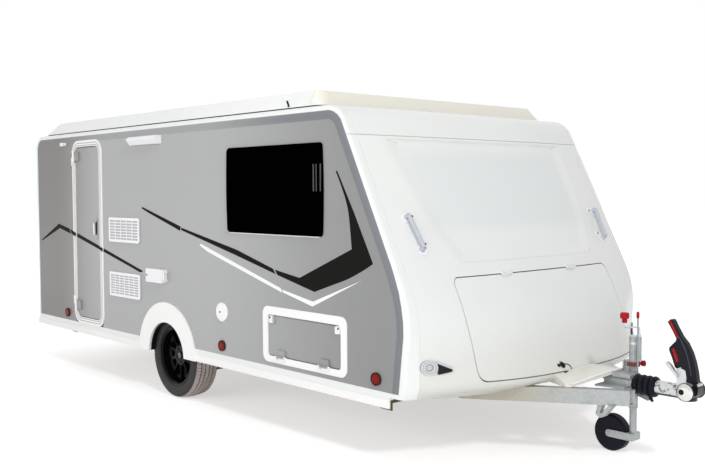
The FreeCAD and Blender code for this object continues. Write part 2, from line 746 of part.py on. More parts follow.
write("door_frame", mirrored(joined(frame_parts)))
write("door_leaf", mirrored(joined(leaf_parts)))
plate = slab(rect(HANDLE_X0, HANDLE_X1, HANDLE_Z0, HANDLE_Z1, HANDLE_R), on_y(HALF_WIDTH),
             V(0, HANDLE_T, 0))
grip = slab(rect(HANDLE_X0 + 12, HANDLE_X1 - 12, HANDLE_Z0 + 20, HANDLE_Z1 - 20, 7), on_y(HALF_WIDTH),
            V(0, HANDLE_OUT, 0))
write("door_handle", mirrored(joined([plate, grip])))

# Side locker: frame, bottom-hinged door

locker_ring = slab(rect(LOCKER_X0, LOCKER_X1, LOCKER_Z0, LOCKER_Z1, LOCKER_R), on_y(HALF_WIDTH),
                   V(0, FRAME_PROUD, 0))
locker_neck = slab(rect(LOCKER_X0 + NECK_IN, LOCKER_X1 - NECK_IN, LOCKER_Z0 + NECK_IN, LOCKER_Z1 - NECK_IN,
                        LOCKER_R - NECK_IN), on_y(WALL_IN), V(0, WALL, 0))


def locker_blank(gap, radius):
    """The opening's outline, drawn in by a gap."""
    side = LOCKER_FRAME_W + gap
    low_edge = LOCKER_Z0 + LOCKER_FRAME_LOW + gap
    return rect(LOCKER_X0 + side, LOCKER_X1 - side, low_edge, LOCKER_Z1 - side, radius)


locker_in = slab(locker_blank(0, LOCKER_IN_R), on_y(WALL_IN - 1), V(0, WALL + FRAME_PROUD + 2, 0))
locker_frame = locker_ring.fuse(locker_neck).cut(locker_in)
locker_leaf = slab(locker_blank(GAP, LOCKER_IN_R - 4), on_y(WALL_IN), V(0, WALL, 0))
locker_parts = [locker_leaf]
lug_edge = LOCKER_FRAME_W + 2 * GAP
lug_top = LOCKER_Z1 - lug_edge
for x in (LOCKER_X0 + lug_edge, LOCKER_X1 - lug_edge - LUG_W):
    lug = slab(rect(x, x + LUG_W, lug_top - LUG_H, lug_top, LUG_R), on_y(HALF_WIDTH), V(0, FRAME_PROUD, 0))
    locker_parts.append(lug)

locker_axis = V(0, frame_out + SMALL_BARREL_R + 2, LOCKER_Z0 + LOCKER_AXIS_UP)
locker_frame_parts = [locker_frame]
half_barrel = V(SMALL_BARREL_L / 2 + GAP, 0, 0)
knuckle = V(KNUCKLE_L, 0, 0)
seat = V(SEAT, 0, 0)
strap_y = locker_axis.y - SMALL_PIN_R - 0.5
strap_top = locker_axis.z + 40
for x in (LOCKER_X0 + LOCKER_HINGE_X, LOCKER_X1 - LOCKER_HINGE_X):
    a = V(x, locker_axis.y, locker_axis.z) - half_barrel
    b = V(x, locker_axis.y, locker_axis.z) + half_barrel
    locker_parts.append(tube(a, b, SMALL_BARREL_R, SMALL_PIN_R + PIN_FIT))
    locker_parts.append(box(a.x, b.x, locker_axis.y - SMALL_BARREL_R, strap_y, locker_axis.z + 5, strap_top))
    locker_parts.append(box(a.x, b.x, HALF_WIDTH, strap_y, locker_axis.z + 10, strap_top))
    locker_frame_parts.append(rod(a - knuckle, b + knuckle, SMALL_PIN_R))
    for p, q in ((a - knuckle, a - seat), (b + seat, b + knuckle)):
        locker_frame_parts.append(rod(p, q, SMALL_BARREL_R))
        root = box(p.x, q.x, frame_out - 1, locker_axis.y, locker_axis.z - 20, locker_axis.z)
        locker_frame_parts.append(root)
write("locker_frame", mirrored(joined(locker_frame_parts)))
write("side_locker_door", mirrored(joined(locker_parts)))

# Service box with its flap

service = slab(rect(SERVICE_X0, SERVICE_X1, SERVICE_Z0, SERVICE_Z1, 14), on_y(HALF_WIDTH),
               V(0, SERVICE_D - FLAP_T, 0))
service_room = rect(SERVICE_X0 + SERVICE_WALL, SERVICE_X1 - SERVICE_WALL, SERVICE_Z0 + SERVICE_WALL,
                    SERVICE_Z1 - SERVICE_WALL, 8)
service = service.cut(slab(service_room, on_y(HALF_WIDTH + 6), V(0, SERVICE_D, 0)))
flap_y = HALF_WIDTH + SERVICE_D - FLAP_T + SEAT
flap = slab(rect(SERVICE_X0, SERVICE_X1 - 12, SERVICE_Z0, SERVICE_Z1, 10), on_y(flap_y), V(0, FLAP_T, 0))
flap_axis = V(SERVICE_X1 + FLAP_AXIS_X, flap_y + FLAP_AXIS_Y, 0)
low = V(flap_axis.x, flap_axis.y, SERVICE_Z0 + 24)
high = V(flap_axis.x, flap_axis.y, SERVICE_Z1 - 24)
ear_end = V(0, 0, FLAP_EAR_L)
seat = V(0, 0, SEAT)
flap_barrel = tube(low, high, FLAP_BARREL_R, FLAP_PIN_R + PIN_FIT)
flap_strap = box(SERVICE_X1 - 14, SERVICE_X1 + 3, flap_y + 1, flap_y + 6, low.z, high.z)
service_parts = [service, rod(low - ear_end, high + ear_end, FLAP_PIN_R)]
for a, b in ((low - ear_end, low - seat), (high + seat, high + ear_end)):
    service_parts.append(rod(a, b, FLAP_BARREL_R))
    service_parts.append(box(SERVICE_X1, SERVICE_X1 + 8, HALF_WIDTH, flap_axis.y, a.z, b.z))
write("service_box", mirrored(joined(service_parts)))
write("service_flap", mirrored(joined([flap, flap_barrel, flap_strap])))

# Small fittings


def vent(z0, columns, rows):
    """A vent plate with a grid of shallow cells."""
    plate = slab(rect(VENT_X0, VENT_X1, z0, z0 + VENT_H, VENT_R), on_y(HALF_WIDTH), V(0, VENT_T, 0))
    across = (VENT_X1 - VENT_X0 - 2 * VENT_EDGE + VENT_BAR) / columns
    up = (VENT_H - 2 * VENT_EDGE + VENT_BAR) / rows
    face = HALF_WIDTH + VENT_T
    cells = []
    for i in range(columns):
        for j in range(rows):
            x = VENT_X0 + VENT_EDGE + across * i
            z = z0 + VENT_EDGE + up * j
            cells.append(box(x, x + across - VENT_BAR, face - VENT_DEEP, face + 1, z, z + up - VENT_BAR))
    return plate.cut(cells)


vents = [vent(z, columns, rows) for z, (columns, rows) in zip(VENT_Z, VENT_CELLS)]
write("fridge_vents", mirrored(Part.makeCompound(vents)))

filler_base = V(FILLER_X, HALF_WIDTH, FILLER_Z)
filler = rod(filler_base, filler_base + V(0, FILLER_T, 0), FILLER_R)
rim_edges = [e for e in filler.Edges if e.BoundBox.YMin > HALF_WIDTH + FILLER_T - 1]
write("water_filler", mirrored(filler.makeChamfer(FILLER_T * 0.35, rim_edges)))

awning = slab([(HALF_WIDTH, AWNING_Z0, 0), (HALF_WIDTH + AWNING_D * 0.5, AWNING_Z0, 6),
               (HALF_WIDTH + AWNING_D, AWNING_Z1 - 16, 8), (HALF_WIDTH + AWNING_D * 0.6, AWNING_Z1, 8),
               (HALF_WIDTH, AWNING_Z1, 0)], on_x(AWNING_X0), V(AWNING_X1 - AWNING_X0, 0, 0))
small_x0, small_x1, small_z0, small_z1, small_out = SMALL_LAMP
small_lamp = slab(rect(small_x0, small_x1, small_z0, small_z1, 8), on_y(HALF_WIDTH), V(0, small_out, 0))
write("awning_light", mirrored(Part.makeCompound([awning, small_lamp])))

markers = []
for x in MARKER_X:
    base = V(x, HALF_WIDTH, MARKER_Z)
    dome = rod(base, base + V(0, MARKER_T, 0), MARKER_R)
    rim_edges = [e for e in dome.Edges if e.BoundBox.YMin > HALF_WIDTH + MARKER_T - 1]
    markers.append(dome.makeChamfer(MARKER_T * 0.6, rim_edges))
markers += [mirrored(m) for m in markers]
write("side_markers", Part.makeCompound(markers))

# Front lamps: a round lens with a dark tail pointing inward, on the bowed front


def front_lamp():
    depth = V(NOSE_X, 0, 0)
    back = V(FRONT_JOIN_X, HALF_WIDTH - LAMP_IN, LAMP_Z)
    lens = rod(back, back + depth, LAMP_R)
    tail = slab([(HALF_WIDTH - inward, z, r) for inward, z, r in LAMP_TAIL], on_x(FRONT_JOIN_X), depth)
    raised = body_form(-LAMP_PROUD, BODY_LOW).cut(outer)
    return raised.common(lens.fuse(tail))


lamp = front_lamp()
write("front_lamps", Part.makeCompound([lamp, mirrored(lamp)]))

rear_lamp = slab(rect(*REAR_LAMP, REAR_LAMP_R), on_x(-REAR_REACH - REAR_LAMP_T), V(REAR_LAMP_T, 0, 0))
write("rear_lamps", both_sides(rear_lamp))

# Grab handles at the four corners


def grab(low_point, high_point, out):
    away = out * GRAB_OUT
    feet = [rod(p - out * 20, p + away, GRAB_FOOT_R) for p in (low_point, high_point)]
    bar = rod(low_point + away, high_point + away, GRAB_BAR_R)
    return joined(feet + [bar])


front_out = V(math.cos(math.radians(SLANT_DEG)), 0, math.sin(math.radians(SLANT_DEG)))
low_grip = V(front_x(*GRAB_LOW), *GRAB_LOW)
high_grip = V(front_x(*GRAB_HIGH), *GRAB_HIGH)
front_grab = grab(low_grip, high_grip, front_out).cut(outer)
rear_low, rear_high = (V(-REAR_REACH, REAR_GRAB_Y, z) for z in REAR_GRAB_Z)
rear_grab = grab(rear_low, rear_high, V(-1, 0, 0)).cut(outer)
grabs = [front_grab, rear_grab]
write("grab_handles", Part.makeCompound(grabs + [mirrored(g) for g in grabs]))

# Chassis


def channel(x0, x1):
    """A lengthwise channel on the left, open towards the middle."""
    full = box(x0, x1, RAIL_Y - RAIL_W, RAIL_Y, FLOOR_Z - RAIL_H, FLOOR_Z)
    hollow = box(x0 - 1, x1 + 1, RAIL_Y - RAIL_W - 1, RAIL_Y - RAIL_T, FLOOR_Z - RAIL_H + RAIL_T,
                 FLOOR_Z - RAIL_T)
    return full.cut(hollow)


rail = channel(RAIL_REAR_X, RAIL_FRONT_X)
frame_solids = [rail, mirrored(rail)]
for x in CROSS_X:
    frame_solids.append(box(x, x + 40, -RAIL_Y + RAIL_T, RAIL_Y - RAIL_T, FLOOR_Z - 60, FLOOR_Z - RAIL_T))
bracket = box(AXLE_TUBE_X - 60, AXLE_TUBE_X + 60, RAIL_Y - RAIL_W, RAIL_Y, AXLE_TUBE_Z, FLOOR_Z - RAIL_H)
bracket = bracket.cut(rod(V(AXLE_TUBE_X, 0, AXLE_TUBE_Z), V(AXLE_TUBE_X, FAR, AXLE_TUBE_Z), AXLE_TUBE_R))
frame_solids += [bracket, mirrored(bracket)]
write("chassis_frame", joined(frame_solids))

axle = tube(V(AXLE_TUBE_X, -ARM_Y, AXLE_TUBE_Z), V(AXLE_TUBE_X, ARM_Y, AXLE_TUBE_Z), AXLE_TUBE_R,
            AXLE_TUBE_R - AXLE_TUBE_T)
write("axle_tube", axle)


def trailing_arm():
    hub_z = TYRE_R
    angle = math.atan2(hub_z - AXLE_TUBE_Z, AXLE_TUBE_X)
    side = V(math.sin(angle), 0, math.cos(angle))
    a = V(AXLE_TUBE_X, ARM_Y, AXLE_TUBE_Z)
    b = V(0, ARM_Y, hub_z)
    top = side * ARM_END_R
    tip = side * ARM_TIP_R
    outline = Part.makePolygon([a + top, b + tip, b - tip, a - top, a + top])
    web = Part.Face(outline).extrude(V(0, ARM_T, 0))
    ends = [rod(a, a + V(0, ARM_T, 0), ARM_END_R), rod(b, b + V(0, ARM_T, 0), ARM_TIP_R)]
    stub = rod(b, V(0, WHEEL_Y + STUB_OUT, hub_z), STUB_R)
    return joined([web, stub] + ends)


write("trailing_arms", both_sides(trailing_arm()))


def arm_corners(offset, tip_x=ARM_TIP_X):
    """Plan of one drawbar arm, drawn on the left."""
    run = math.atan2(RAIL_Y - ARM_TIP_Y, ARM_TIP_X - RAIL_FRONT_X)
    across = RAIL_W / math.cos(run)
    return [
        (RAIL_FRONT_X, RAIL_Y - offset, 0.0),
        (RAIL_FRONT_X, RAIL_Y - across + offset, 0.0),
        (tip_x, ARM_TIP_Y - across + offset, 0.0),
        (tip_x, ARM_TIP_Y - offset, 0.0),
    ]


arm = slab(arm_corners(0.0), on_z(FLOOR_Z - RAIL_H), V(0, 0, RAIL_H))
arm = arm.cut(slab(arm_corners(RAIL_T), on_z(FLOOR_Z - RAIL_H + RAIL_T), V(0, 0, RAIL_H - 2 * RAIL_T)))
near_arm = mirrored(arm)
strap_depth = V(0, BRACKET_Y[1] - BRACKET_Y[0], 0)
strap = slab(list(BRACKET_OUT), on_y(BRACKET_Y[0]), strap_depth)
strap = strap.cut(slab(list(BRACKET_IN), on_y(BRACKET_Y[0]), strap_depth)).cut(near_arm)
write("drawbar_arms", Part.makeCompound([arm, joined([near_arm, strap])]))


def cover_corners(inset):
    """Plan of the cover, drawn in by the thickness of its wall."""
    near = [(x - inset, -(half - inset), max(0.0, r - inset)) for x, half, r in COVER_PLAN]
    return near + [(x, -y, r) for x, y, r in reversed(near)]


cover = slab(cover_corners(0.0), on_z(FLOOR_Z), V(0, 0, COVER_H))
cover = cover.cut(slab(cover_corners(COVER_T), on_z(FLOOR_Z - 1), V(0, 0, COVER_H - COVER_T + 1)))
write("drawbar_cover", cover.cut(outer))

# Overrun gear and coupling

ahead = V(1, 0, 0)
line = V(0, 0, SHAFT_Z)
housing = rod(line + ahead * HOUSING_X0, line + ahead * HOUSING_X1, HOUSING_R)
plate = slab([(HOUSING_X0, -PLATE_HALF, 10), (HOUSING_X1 - 6, -ARM_TIP_Y + 14, 10),
              (HOUSING_X1 - 6, ARM_TIP_Y - 14, 10), (HOUSING_X0, PLATE_HALF, 10)],
             on_z(FLOOR_Z), V(0, 0, PLATE_T))
jockey_way = rod(V(JOCKEY_X, JOCKEY_Y, FLOOR_Z - 1), V(JOCKEY_X, JOCKEY_Y, FLOOR_Z + PLATE_T + 1),
                 JOCKEY_TUBE_R + 8)
shaft_way = rod(line + ahead * (HOUSING_X0 + 20), line + ahead * FAR, SHAFT_R)
housing = housing.fuse(plate).cut([shaft_way, jockey_way])
write("overrun_housing", housing.removeSplitter())

shaft = rod(line + ahead * (HOUSING_X0 + 20), line + ahead * (BALL_X - 55), SHAFT_R)
write("drawshaft", shaft)


def gaiter_shape():
    step = (GAITER_X1 - GAITER_X0) / GAITER_FOLDS
    points = [V(GAITER_X0, 0, SHAFT_R)]
    for i in range(GAITER_FOLDS):
        x = GAITER_X0 + step * i
        points.append(V(x, 0, GAITER_R - FOLD_DEEP))
        points.append(V(x + step * 0.3, 0, GAITER_R))
        points.append(V(x + step * 0.7, 0, GAITER_R))
    points.append(V(GAITER_X1, 0, GAITER_R - FOLD_DEEP))
    points.append(V(GAITER_X1, 0, SHAFT_R))
    profile = Part.Face(Part.makePolygon(points + [points[0]]))
    body = profile.revolve(V(0, 0, 0), V(1, 0, 0), 360)
    body.translate(line)
    return body


write("gaiter", gaiter_shape())


def plain_slab(points, y0, y1):
    """A plate between two widths, its outline given as (x, z) points."""
    return slab([(x, z, 0.0) for x, z in points], on_y(y0), V(0, y1 - y0, 0))


ball_centre = V(BALL_X, 0, SHAFT_Z)
pad_centre = V(PAD_X, 0, PAD_Z)
half_pads = V(0, PAD_HALF, 0)
cheek = plain_slab(CHEEK, CHEEK_Y, CHEEK_Y + CHEEK_T)
head = joined([
    rod(line + ahead * (GAITER_X1 + SEAT), line + ahead * (BALL_X - 10), NECK_R),
    Part.makeSphere(HEAD_R, ball_centre),
    rod(ball_centre - V(0, 0, SOCKET_DEEP), ball_centre, HEAD_R),
    rod(pad_centre - half_pads, pad_centre + half_pads, PAD_R),
    cheek,
    mirrored(cheek),
    plain_slab(CORE, -CHEEK_Y, CHEEK_Y),
    slab(list(NOSE), on_y(-NOSE_HALF), V(0, 2 * NOSE_HALF, 0)),
    plain_slab(RELEASE, *RELEASE_Y),
])
head = head.cut([Part.makeSphere(BALL_R, ball_centre), rod(ball_centre - V(0, 0, 60), ball_centre, BALL_R),
                 rod(line + ahead * (GAITER_X1 - 1), line + ahead * (BALL_X - 55), SHAFT_R)])
write("coupling_head", head)
write("stabiliser_handle", plain_slab(HANDLE, -HANDLE_HALF, HANDLE_HALF).cut(head))

lever_foot = V(LEVER_X, LEVER_Y, SHAFT_Z + 26)
lever_neck = V(LEVER_X, LEVER_Y, LEVER_TOP_Z - LEVER_GRIP_L)
lever_top = V(LEVER_X + 4, LEVER_Y, LEVER_TOP_Z)
lever = joined([rod(lever_foot, lever_neck, LEVER_R), rod(lever_neck, lever_top, LEVER_GRIP_R)])
write("brake_lever", lever.cut(housing))

# Jockey wheel

jockey = V(JOCKEY_X, JOCKEY_Y, 0)
up = V(0, 0, 1)
clamp_low = jockey + up * JOCKEY_CLAMP_Z
clamp_high = clamp_low + up * JOCKEY_CLAMP_H
clamp_hole = rod(jockey, jockey + up * JOCKEY_TOP_Z, JOCKEY_TUBE_R + SEAT)
clamp_x = JOCKEY_X - CLAMP_BACK
clamp_z = FLOOR_Z + PLATE_T
clamp_sides = (JOCKEY_Y + CLAMP_Y0, JOCKEY_Y + CLAMP_Y1)
clamp_post = box(clamp_x, clamp_x + CLAMP_T, *clamp_sides, clamp_z, clamp_high.z)
clamp_foot = box(JOCKEY_X - 96, clamp_x + CLAMP_T, *clamp_sides, clamp_z, clamp_z + CLAMP_T)
clamp_web = box(JOCKEY_X - 52, JOCKEY_X, JOCKEY_Y - 12, JOCKEY_Y + 12, clamp_low.z, clamp_high.z)
clamp = joined([rod(clamp_low, clamp_high, JOCKEY_TUBE_R + 10), clamp_post, clamp_foot, clamp_web])
write("jockey_clamp", clamp.cut(clamp_hole))

slim = jockey + V(JOCKEY_TUBE_R + SLIM_TUBE_R - 3, 0, 0)
slim_low = JOCKEY_CLAMP_Z + JOCKEY_CLAMP_H + 6
outer_tube = rod(jockey + up * JOCKEY_TUBE_LOW, jockey + up * JOCKEY_TOP_Z, JOCKEY_TUBE_R)
slim_tube = rod(slim + up * slim_low, slim + up * JOCKEY_TOP_Z, SLIM_TUBE_R)
tube_bore = rod(jockey + up * (JOCKEY_TUBE_LOW - 1), jockey + up * (JOCKEY_TOP_Z - 6), JOCKEY_STEM_R + 1.5)
write("jockey_tube", outer_tube.fuse(slim_tube).cut(tube_bore).removeSplitter())

knob = jockey + V(CRANK_KNOB_X, CRANK_KNOB_Y, JOCKEY_CRANK_Z)
crank_turn = slim + up * JOCKEY_CRANK_Z
crank = joined([
    rod(slim + up * (JOCKEY_TOP_Z + SEAT), slim + up * (JOCKEY_TOP_Z + 16), SLIM_TUBE_R),
    rod(slim + up * (JOCKEY_TOP_Z + 16), crank_turn, CRANK_R),
    Part.makeSphere(CRANK_R, crank_turn),
    rod(crank_turn, knob, CRANK_R),
    rod(knob - up * 7, knob + up * 66, KNOB_R),
])
write("jockey_crank", crank)

wheel_centre = jockey + V(-JOCKEY_TRAIL, 0, JOCKEY_WHEEL_R)
arm_in = JOCKEY_WHEEL_W / 2 + FORK_GAP
stem_foot = JOCKEY_WHEEL_R - FORK_ARM_H / 2
stem = rod(jockey + up * stem_foot, jockey + up * (JOCKEY_TOP_Z - 20), JOCKEY_STEM_R)
collar = rod(jockey + up * (JOCKEY_TUBE_LOW - 6 - SEAT), jockey + up * (JOCKEY_TUBE_LOW - SEAT),
             JOCKEY_TUBE_R)
cross = box(JOCKEY_X - JOCKEY_STEM_R, JOCKEY_X + JOCKEY_STEM_R, JOCKEY_Y - arm_in - FORK_ARM_T,
            JOCKEY_Y + arm_in + FORK_ARM_T, stem_foot, stem_foot + FORK_ARM_H)
fork_top = stem_foot + FORK_ARM_H
arm_plan = [(wheel_centre.x - 20, stem_foot, 19), (JOCKEY_X + JOCKEY_STEM_R, stem_foot, 6),
            (JOCKEY_X + JOCKEY_STEM_R, fork_top, 6), (wheel_centre.x - 20, fork_top, 19)]
fork_arm = slab(arm_plan, on_y(JOCKEY_Y + arm_in), V(0, FORK_ARM_T, 0))
fork_arm_near = slab(arm_plan, on_y(JOCKEY_Y - arm_in - FORK_ARM_T), V(0, FORK_ARM_T, 0))
half_pin = V(0, arm_in + FORK_ARM_T + 3, 0)
spin_pin = rod(wheel_centre - half_pin, wheel_centre + half_pin, FORK_PIN_R)
write("jockey_fork", joined([stem, collar, cross, fork_arm, fork_arm_near, spin_pin]))
half_tread = V(0, JOCKEY_WHEEL_W / 2, 0)
jockey_wheel = rod(wheel_centre - half_tread, wheel_centre + half_tread, JOCKEY_WHEEL_R)
rims = [e for e in jockey_wheel.Edges if e.BoundBox.XLength > 100 and e.BoundBox.YLength < 1]
jockey_wheel = jockey_wheel.makeChamfer(TREAD_EDGE, rims)
pin_way = rod(wheel_centre - half_pin, wheel_centre + half_pin, FORK_PIN_R + PIN_FIT)
jockey_wheel = jockey_wheel.cut(pin_way)
write("jockey_wheel", jockey_wheel)

# Road wheels, drawn on the left


def turned(points):
    """A solid of revolution about the wheel's axis, from (radius, width) points."""
    loop = [V(0, y, r) for r, y in points]
    return Part.Face(Part.makePolygon(loop + [loop[0]])).revolve(V(0, 0, 0), V(0, 1, 0), 360)


def tyre_shape():
    half = TYRE_W / 2
    side = [(RIM_SEAT_R, half - BEAD_IN), (RIM_R + 2, half - BEAD_IN), (RIM_R + 8, half - 7),
            (TYRE_R - 48, half), (TYRE_R - 12, half - 12), (TYRE_R, half - 34)]
    body = turned([(r, -y) for r, y in side] + side[::-1])
    body.translate(V(0, WHEEL_Y, TYRE_R))
    return body


def rim_shape():
    seat = TYRE_W / 2 - BEAD_IN
    lip = seat + FLANGE_T
    barrel = turned([(RIM_SEAT_R, -seat), (RIM_SEAT_R, seat), (RIM_R, seat), (RIM_R, lip), (RIM_R - 10, lip),
                     (RIM_R - 22, seat - 6), (RIM_R - 28, 20), (RIM_R - 45, 10), (RIM_R - 45, -20),
                     (RIM_R - 24, -lip), (RIM_R, -lip), (RIM_R, -seat)])
    hub = rod(V(0, 2, 0), V(0, HUB_OUT, 0), HUB_R)
    cap_disc = rod(V(0, HUB_OUT, 0), V(0, HUB_OUT + 4, 0), CAP_DISC_R)
    drum = rod(V(0, -DRUM_W, 0), V(0, 2, 0), DRUM_R)
    parts = [barrel, hub, cap_disc, drum]
    for i in range(SPOKES):
        outline = [(-SPOKE_IN, HUB_R - 6, 0.0), (SPOKE_IN, HUB_R - 6, 0.0),
                   (SPOKE_OUT, RIM_SEAT_R - 6, 0.0), (-SPOKE_OUT, RIM_SEAT_R - 6, 0.0)]
        spoke = slab(outline, on_y(SPOKE_Y), V(0, SPOKE_T, 0))
        spoke.rotate(V(0, 0, 0), V(0, 1, 0), 360 / SPOKES * i)
        parts.append(spoke)
    bore = rod(V(0, -DRUM_W - 20, 0), V(0, STUB_OUT + 1, 0), STUB_R + STUB_FIT)
    body = joined(parts).cut(bore)
    body.translate(V(0, WHEEL_Y, TYRE_R))
    return body


tyre = tyre_shape()
rim = rim_shape()
write("tyre_left", tyre)
write("tyre_right", mirrored(tyre))
write("wheel_left", rim)
write("wheel_right", mirrored(rim))

# Corner steadies: bracket on the frame, leg folded up and outward

brackets = []
for index, x in enumerate(STEADY_X):
    pivot = V(x, STEADY_Y, STEADY_Z)
    leg = slab([(STEADY_Y, STEADY_Z + STEADY_HEEL_R, 0), (STEADY_Y, STEADY_Z - STEADY_HEEL_R, 0),
                (STEADY_Y + STEADY_L, STEADY_Z - 12, 8), (STEADY_Y + STEADY_L, STEADY_Z + 8, 8)],
               on_x(x - STEADY_W / 2), V(STEADY_W, 0, 0))
    heel = V(x - STEADY_W / 2, STEADY_Y, STEADY_Z)
    leg = leg.fuse(rod(heel, heel + V(STEADY_W, 0, 0), STEADY_HEEL_R))
    hollow = box(x - STEADY_W / 2 + STEADY_WALL, x + STEADY_W / 2 - STEADY_WALL, STEADY_Y + 20,
                 STEADY_Y + STEADY_L - 30, STEADY_Z - 9, STEADY_Z + 40)
    leg = leg.cut(hollow)
    foot_y = STEADY_Y + STEADY_L - 20
    foot = box(x - FOOT_HALF, x + FOOT_HALF, foot_y, foot_y + 6, STEADY_Z - 45, STEADY_Z + 12)
    leg = joined([leg, foot])
    bore = rod(pivot - V(60, 0, 0), pivot + V(60, 0, 0), STEADY_PIN_R + PIN_FIT)
    leg = leg.cut(bore)
    place = "front" if index else "rear"
    write("steady_" + place + "_left", leg)
    write("steady_" + place + "_right", mirrored(leg))
    half_bar = V(STEADY_W / 2 + STEADY_EAR, 0, 0)
    parts = [rod(pivot - half_bar, pivot + half_bar, STEADY_PIN_R)]
    inner_face = STEADY_W / 2 + SEAT
    for near, far in ((inner_face, half_bar.x), (-half_bar.x, -inner_face)):
        parts.append(box(x + near, x + far, STEADY_Y - STEADY_EAR_HALF, STEADY_Y + STEADY_EAR_HALF,
                         STEADY_Z - 16, FLOOR_Z - RAIL_H))
    brackets.append(joined(parts))
brackets += [mirrored(b) for b in brackets]
write("steady_brackets", Part.makeCompound(brackets))

# Lifting roof


def cap_wire(extent, z, inset=0.0, radius=CAP_R):
    x0, x1, half = extent
    return rounded_wire(rect(x0 + inset, x1 - inset, -half + inset, half - inset, radius - inset), on_z(z))


cap_out = Part.makeLoft([cap_wire(CAP_LOW, CAP_LOW_Z), cap_wire(CAP_TOP, CAP_TOP_Z)], True, True)
cap_room = [cap_wire(CAP_LOW, CAP_LOW_Z - 1, CAP_T), cap_wire(CAP_TOP, CAP_TOP_Z - CAP_T, CAP_T)]
cap_in = Part.makeLoft(cap_room, True, True)
write("lifting_roof", cap_out.cut(cap_in))

seal_x0, seal_x1, seal_half = CAP_LOW
seal_x1 -= SEAL_BACK
seal_out = slab(rect(seal_x0 + 2, seal_x1 - 2, -seal_half + 2, seal_half - 2, CAP_R), on_z(ROOF_Z),
                V(0, 0, CAP_LOW_Z - ROOF_Z - SEAT))
seal_in = slab(rect(seal_x0 + SEAL_W, seal_x1 - SEAL_W, -seal_half + SEAL_W, seal_half - SEAL_W,
                    CAP_R - SEAL_BACK), on_z(ROOF_Z - 1), V(0, 0, SEAL_BACK))
write("roof_seal", seal_out.cut(seal_in))

bellows_out = slab(rect(HATCH[0] - BELLOWS_OUT, HATCH[1] + BELLOWS_OUT, -HATCH[2] - BELLOWS_OUT,
                        HATCH[2] + BELLOWS_OUT, 40), on_z(ROOF_Z), V(0, 0, BELLOWS_H))
bellows_in = slab(rect(HATCH[0] - BELLOWS_OUT + BELLOWS_T, HATCH[1] + BELLOWS_OUT - BELLOWS_T,
                       -HATCH[2] - BELLOWS_OUT + BELLOWS_T, HATCH[2] + BELLOWS_OUT - BELLOWS_T, 34),
                  on_z(ROOF_Z - 1), V(0, 0, BELLOWS_H + 2))
write("roof_bellows", bellows_out.cut(bellows_in))
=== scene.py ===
import json
import math

import bmesh
import bpy
from mathutils import Matrix, Vector


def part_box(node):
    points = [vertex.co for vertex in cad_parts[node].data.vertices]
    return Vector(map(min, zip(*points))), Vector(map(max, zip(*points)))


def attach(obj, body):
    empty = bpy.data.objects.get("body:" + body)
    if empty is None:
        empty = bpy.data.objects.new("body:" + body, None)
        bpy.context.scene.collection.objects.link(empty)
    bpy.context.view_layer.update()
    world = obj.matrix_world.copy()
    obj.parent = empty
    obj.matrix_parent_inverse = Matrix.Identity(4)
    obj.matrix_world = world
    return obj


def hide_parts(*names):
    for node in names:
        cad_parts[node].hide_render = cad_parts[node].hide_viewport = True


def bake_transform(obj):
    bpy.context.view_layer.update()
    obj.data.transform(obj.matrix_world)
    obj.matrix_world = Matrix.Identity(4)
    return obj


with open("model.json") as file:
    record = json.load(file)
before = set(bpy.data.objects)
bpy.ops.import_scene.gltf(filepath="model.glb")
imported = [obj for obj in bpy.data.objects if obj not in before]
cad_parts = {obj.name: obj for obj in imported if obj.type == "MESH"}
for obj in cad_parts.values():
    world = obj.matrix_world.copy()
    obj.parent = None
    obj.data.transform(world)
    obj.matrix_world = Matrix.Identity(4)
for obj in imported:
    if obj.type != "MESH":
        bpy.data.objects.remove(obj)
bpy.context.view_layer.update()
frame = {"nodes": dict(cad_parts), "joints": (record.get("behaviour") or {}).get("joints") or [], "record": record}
NODES = frame["nodes"]
JOINTS = {joint["name"]: joint for joint in frame["joints"]}

# The frame's origin lies under the middle of the vehicle; the axle is this far behind it
AXLE_X = JOINTS["wheel_right_spin"]["pos_m"][0]
AXLE_Z = JOINTS["wheel_right_spin"]["pos_m"][2]
SIDE_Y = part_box("side_wall_left")[1].y


class Wire:
    """A shader socket that does sums: each operator adds the Math node for it."""

    def __init__(self, finish, socket):
        self.finish = finish
        self.socket = socket

    def _sum(self, operation, *others):
        return self.finish.node("Math", {"operation": operation}, [self, *others])

    def __add__(self, other):
        return self._sum("ADD", other)

    def __radd__(self, other):
        return self._sum("ADD", other)

    def __sub__(self, other):
        return self._sum("SUBTRACT", other)

    def __rsub__(self, other):
        return self.finish.node("Math", {"operation": "SUBTRACT"}, [other, self])

    def __mul__(self, other):
        return self._sum("MULTIPLY", other)

    def __rmul__(self, other):
        return self._sum("MULTIPLY", other)

    def __gt__(self, other):
        return self._sum("GREATER_THAN", other)

    def __lt__(self, other):
        return self._sum("LESS_THAN", other)

    def low(self, other):
        return self._sum("MINIMUM", other)

    def high(self, other):
        return self._sum("MAXIMUM", other)

    def size(self):
        return self._sum("ABSOLUTE")

    def wave(self):
        return self._sum("SINE")

    def step(self, start, end):
        """0 at start, 1 at end, and smooth between them."""
        settings = {"interpolation_type": "SMOOTHSTEP"}
        sockets = {"Value": self, "From Min": start, "From Max": end}
        return self.finish.node("MapRange", settings, sockets)


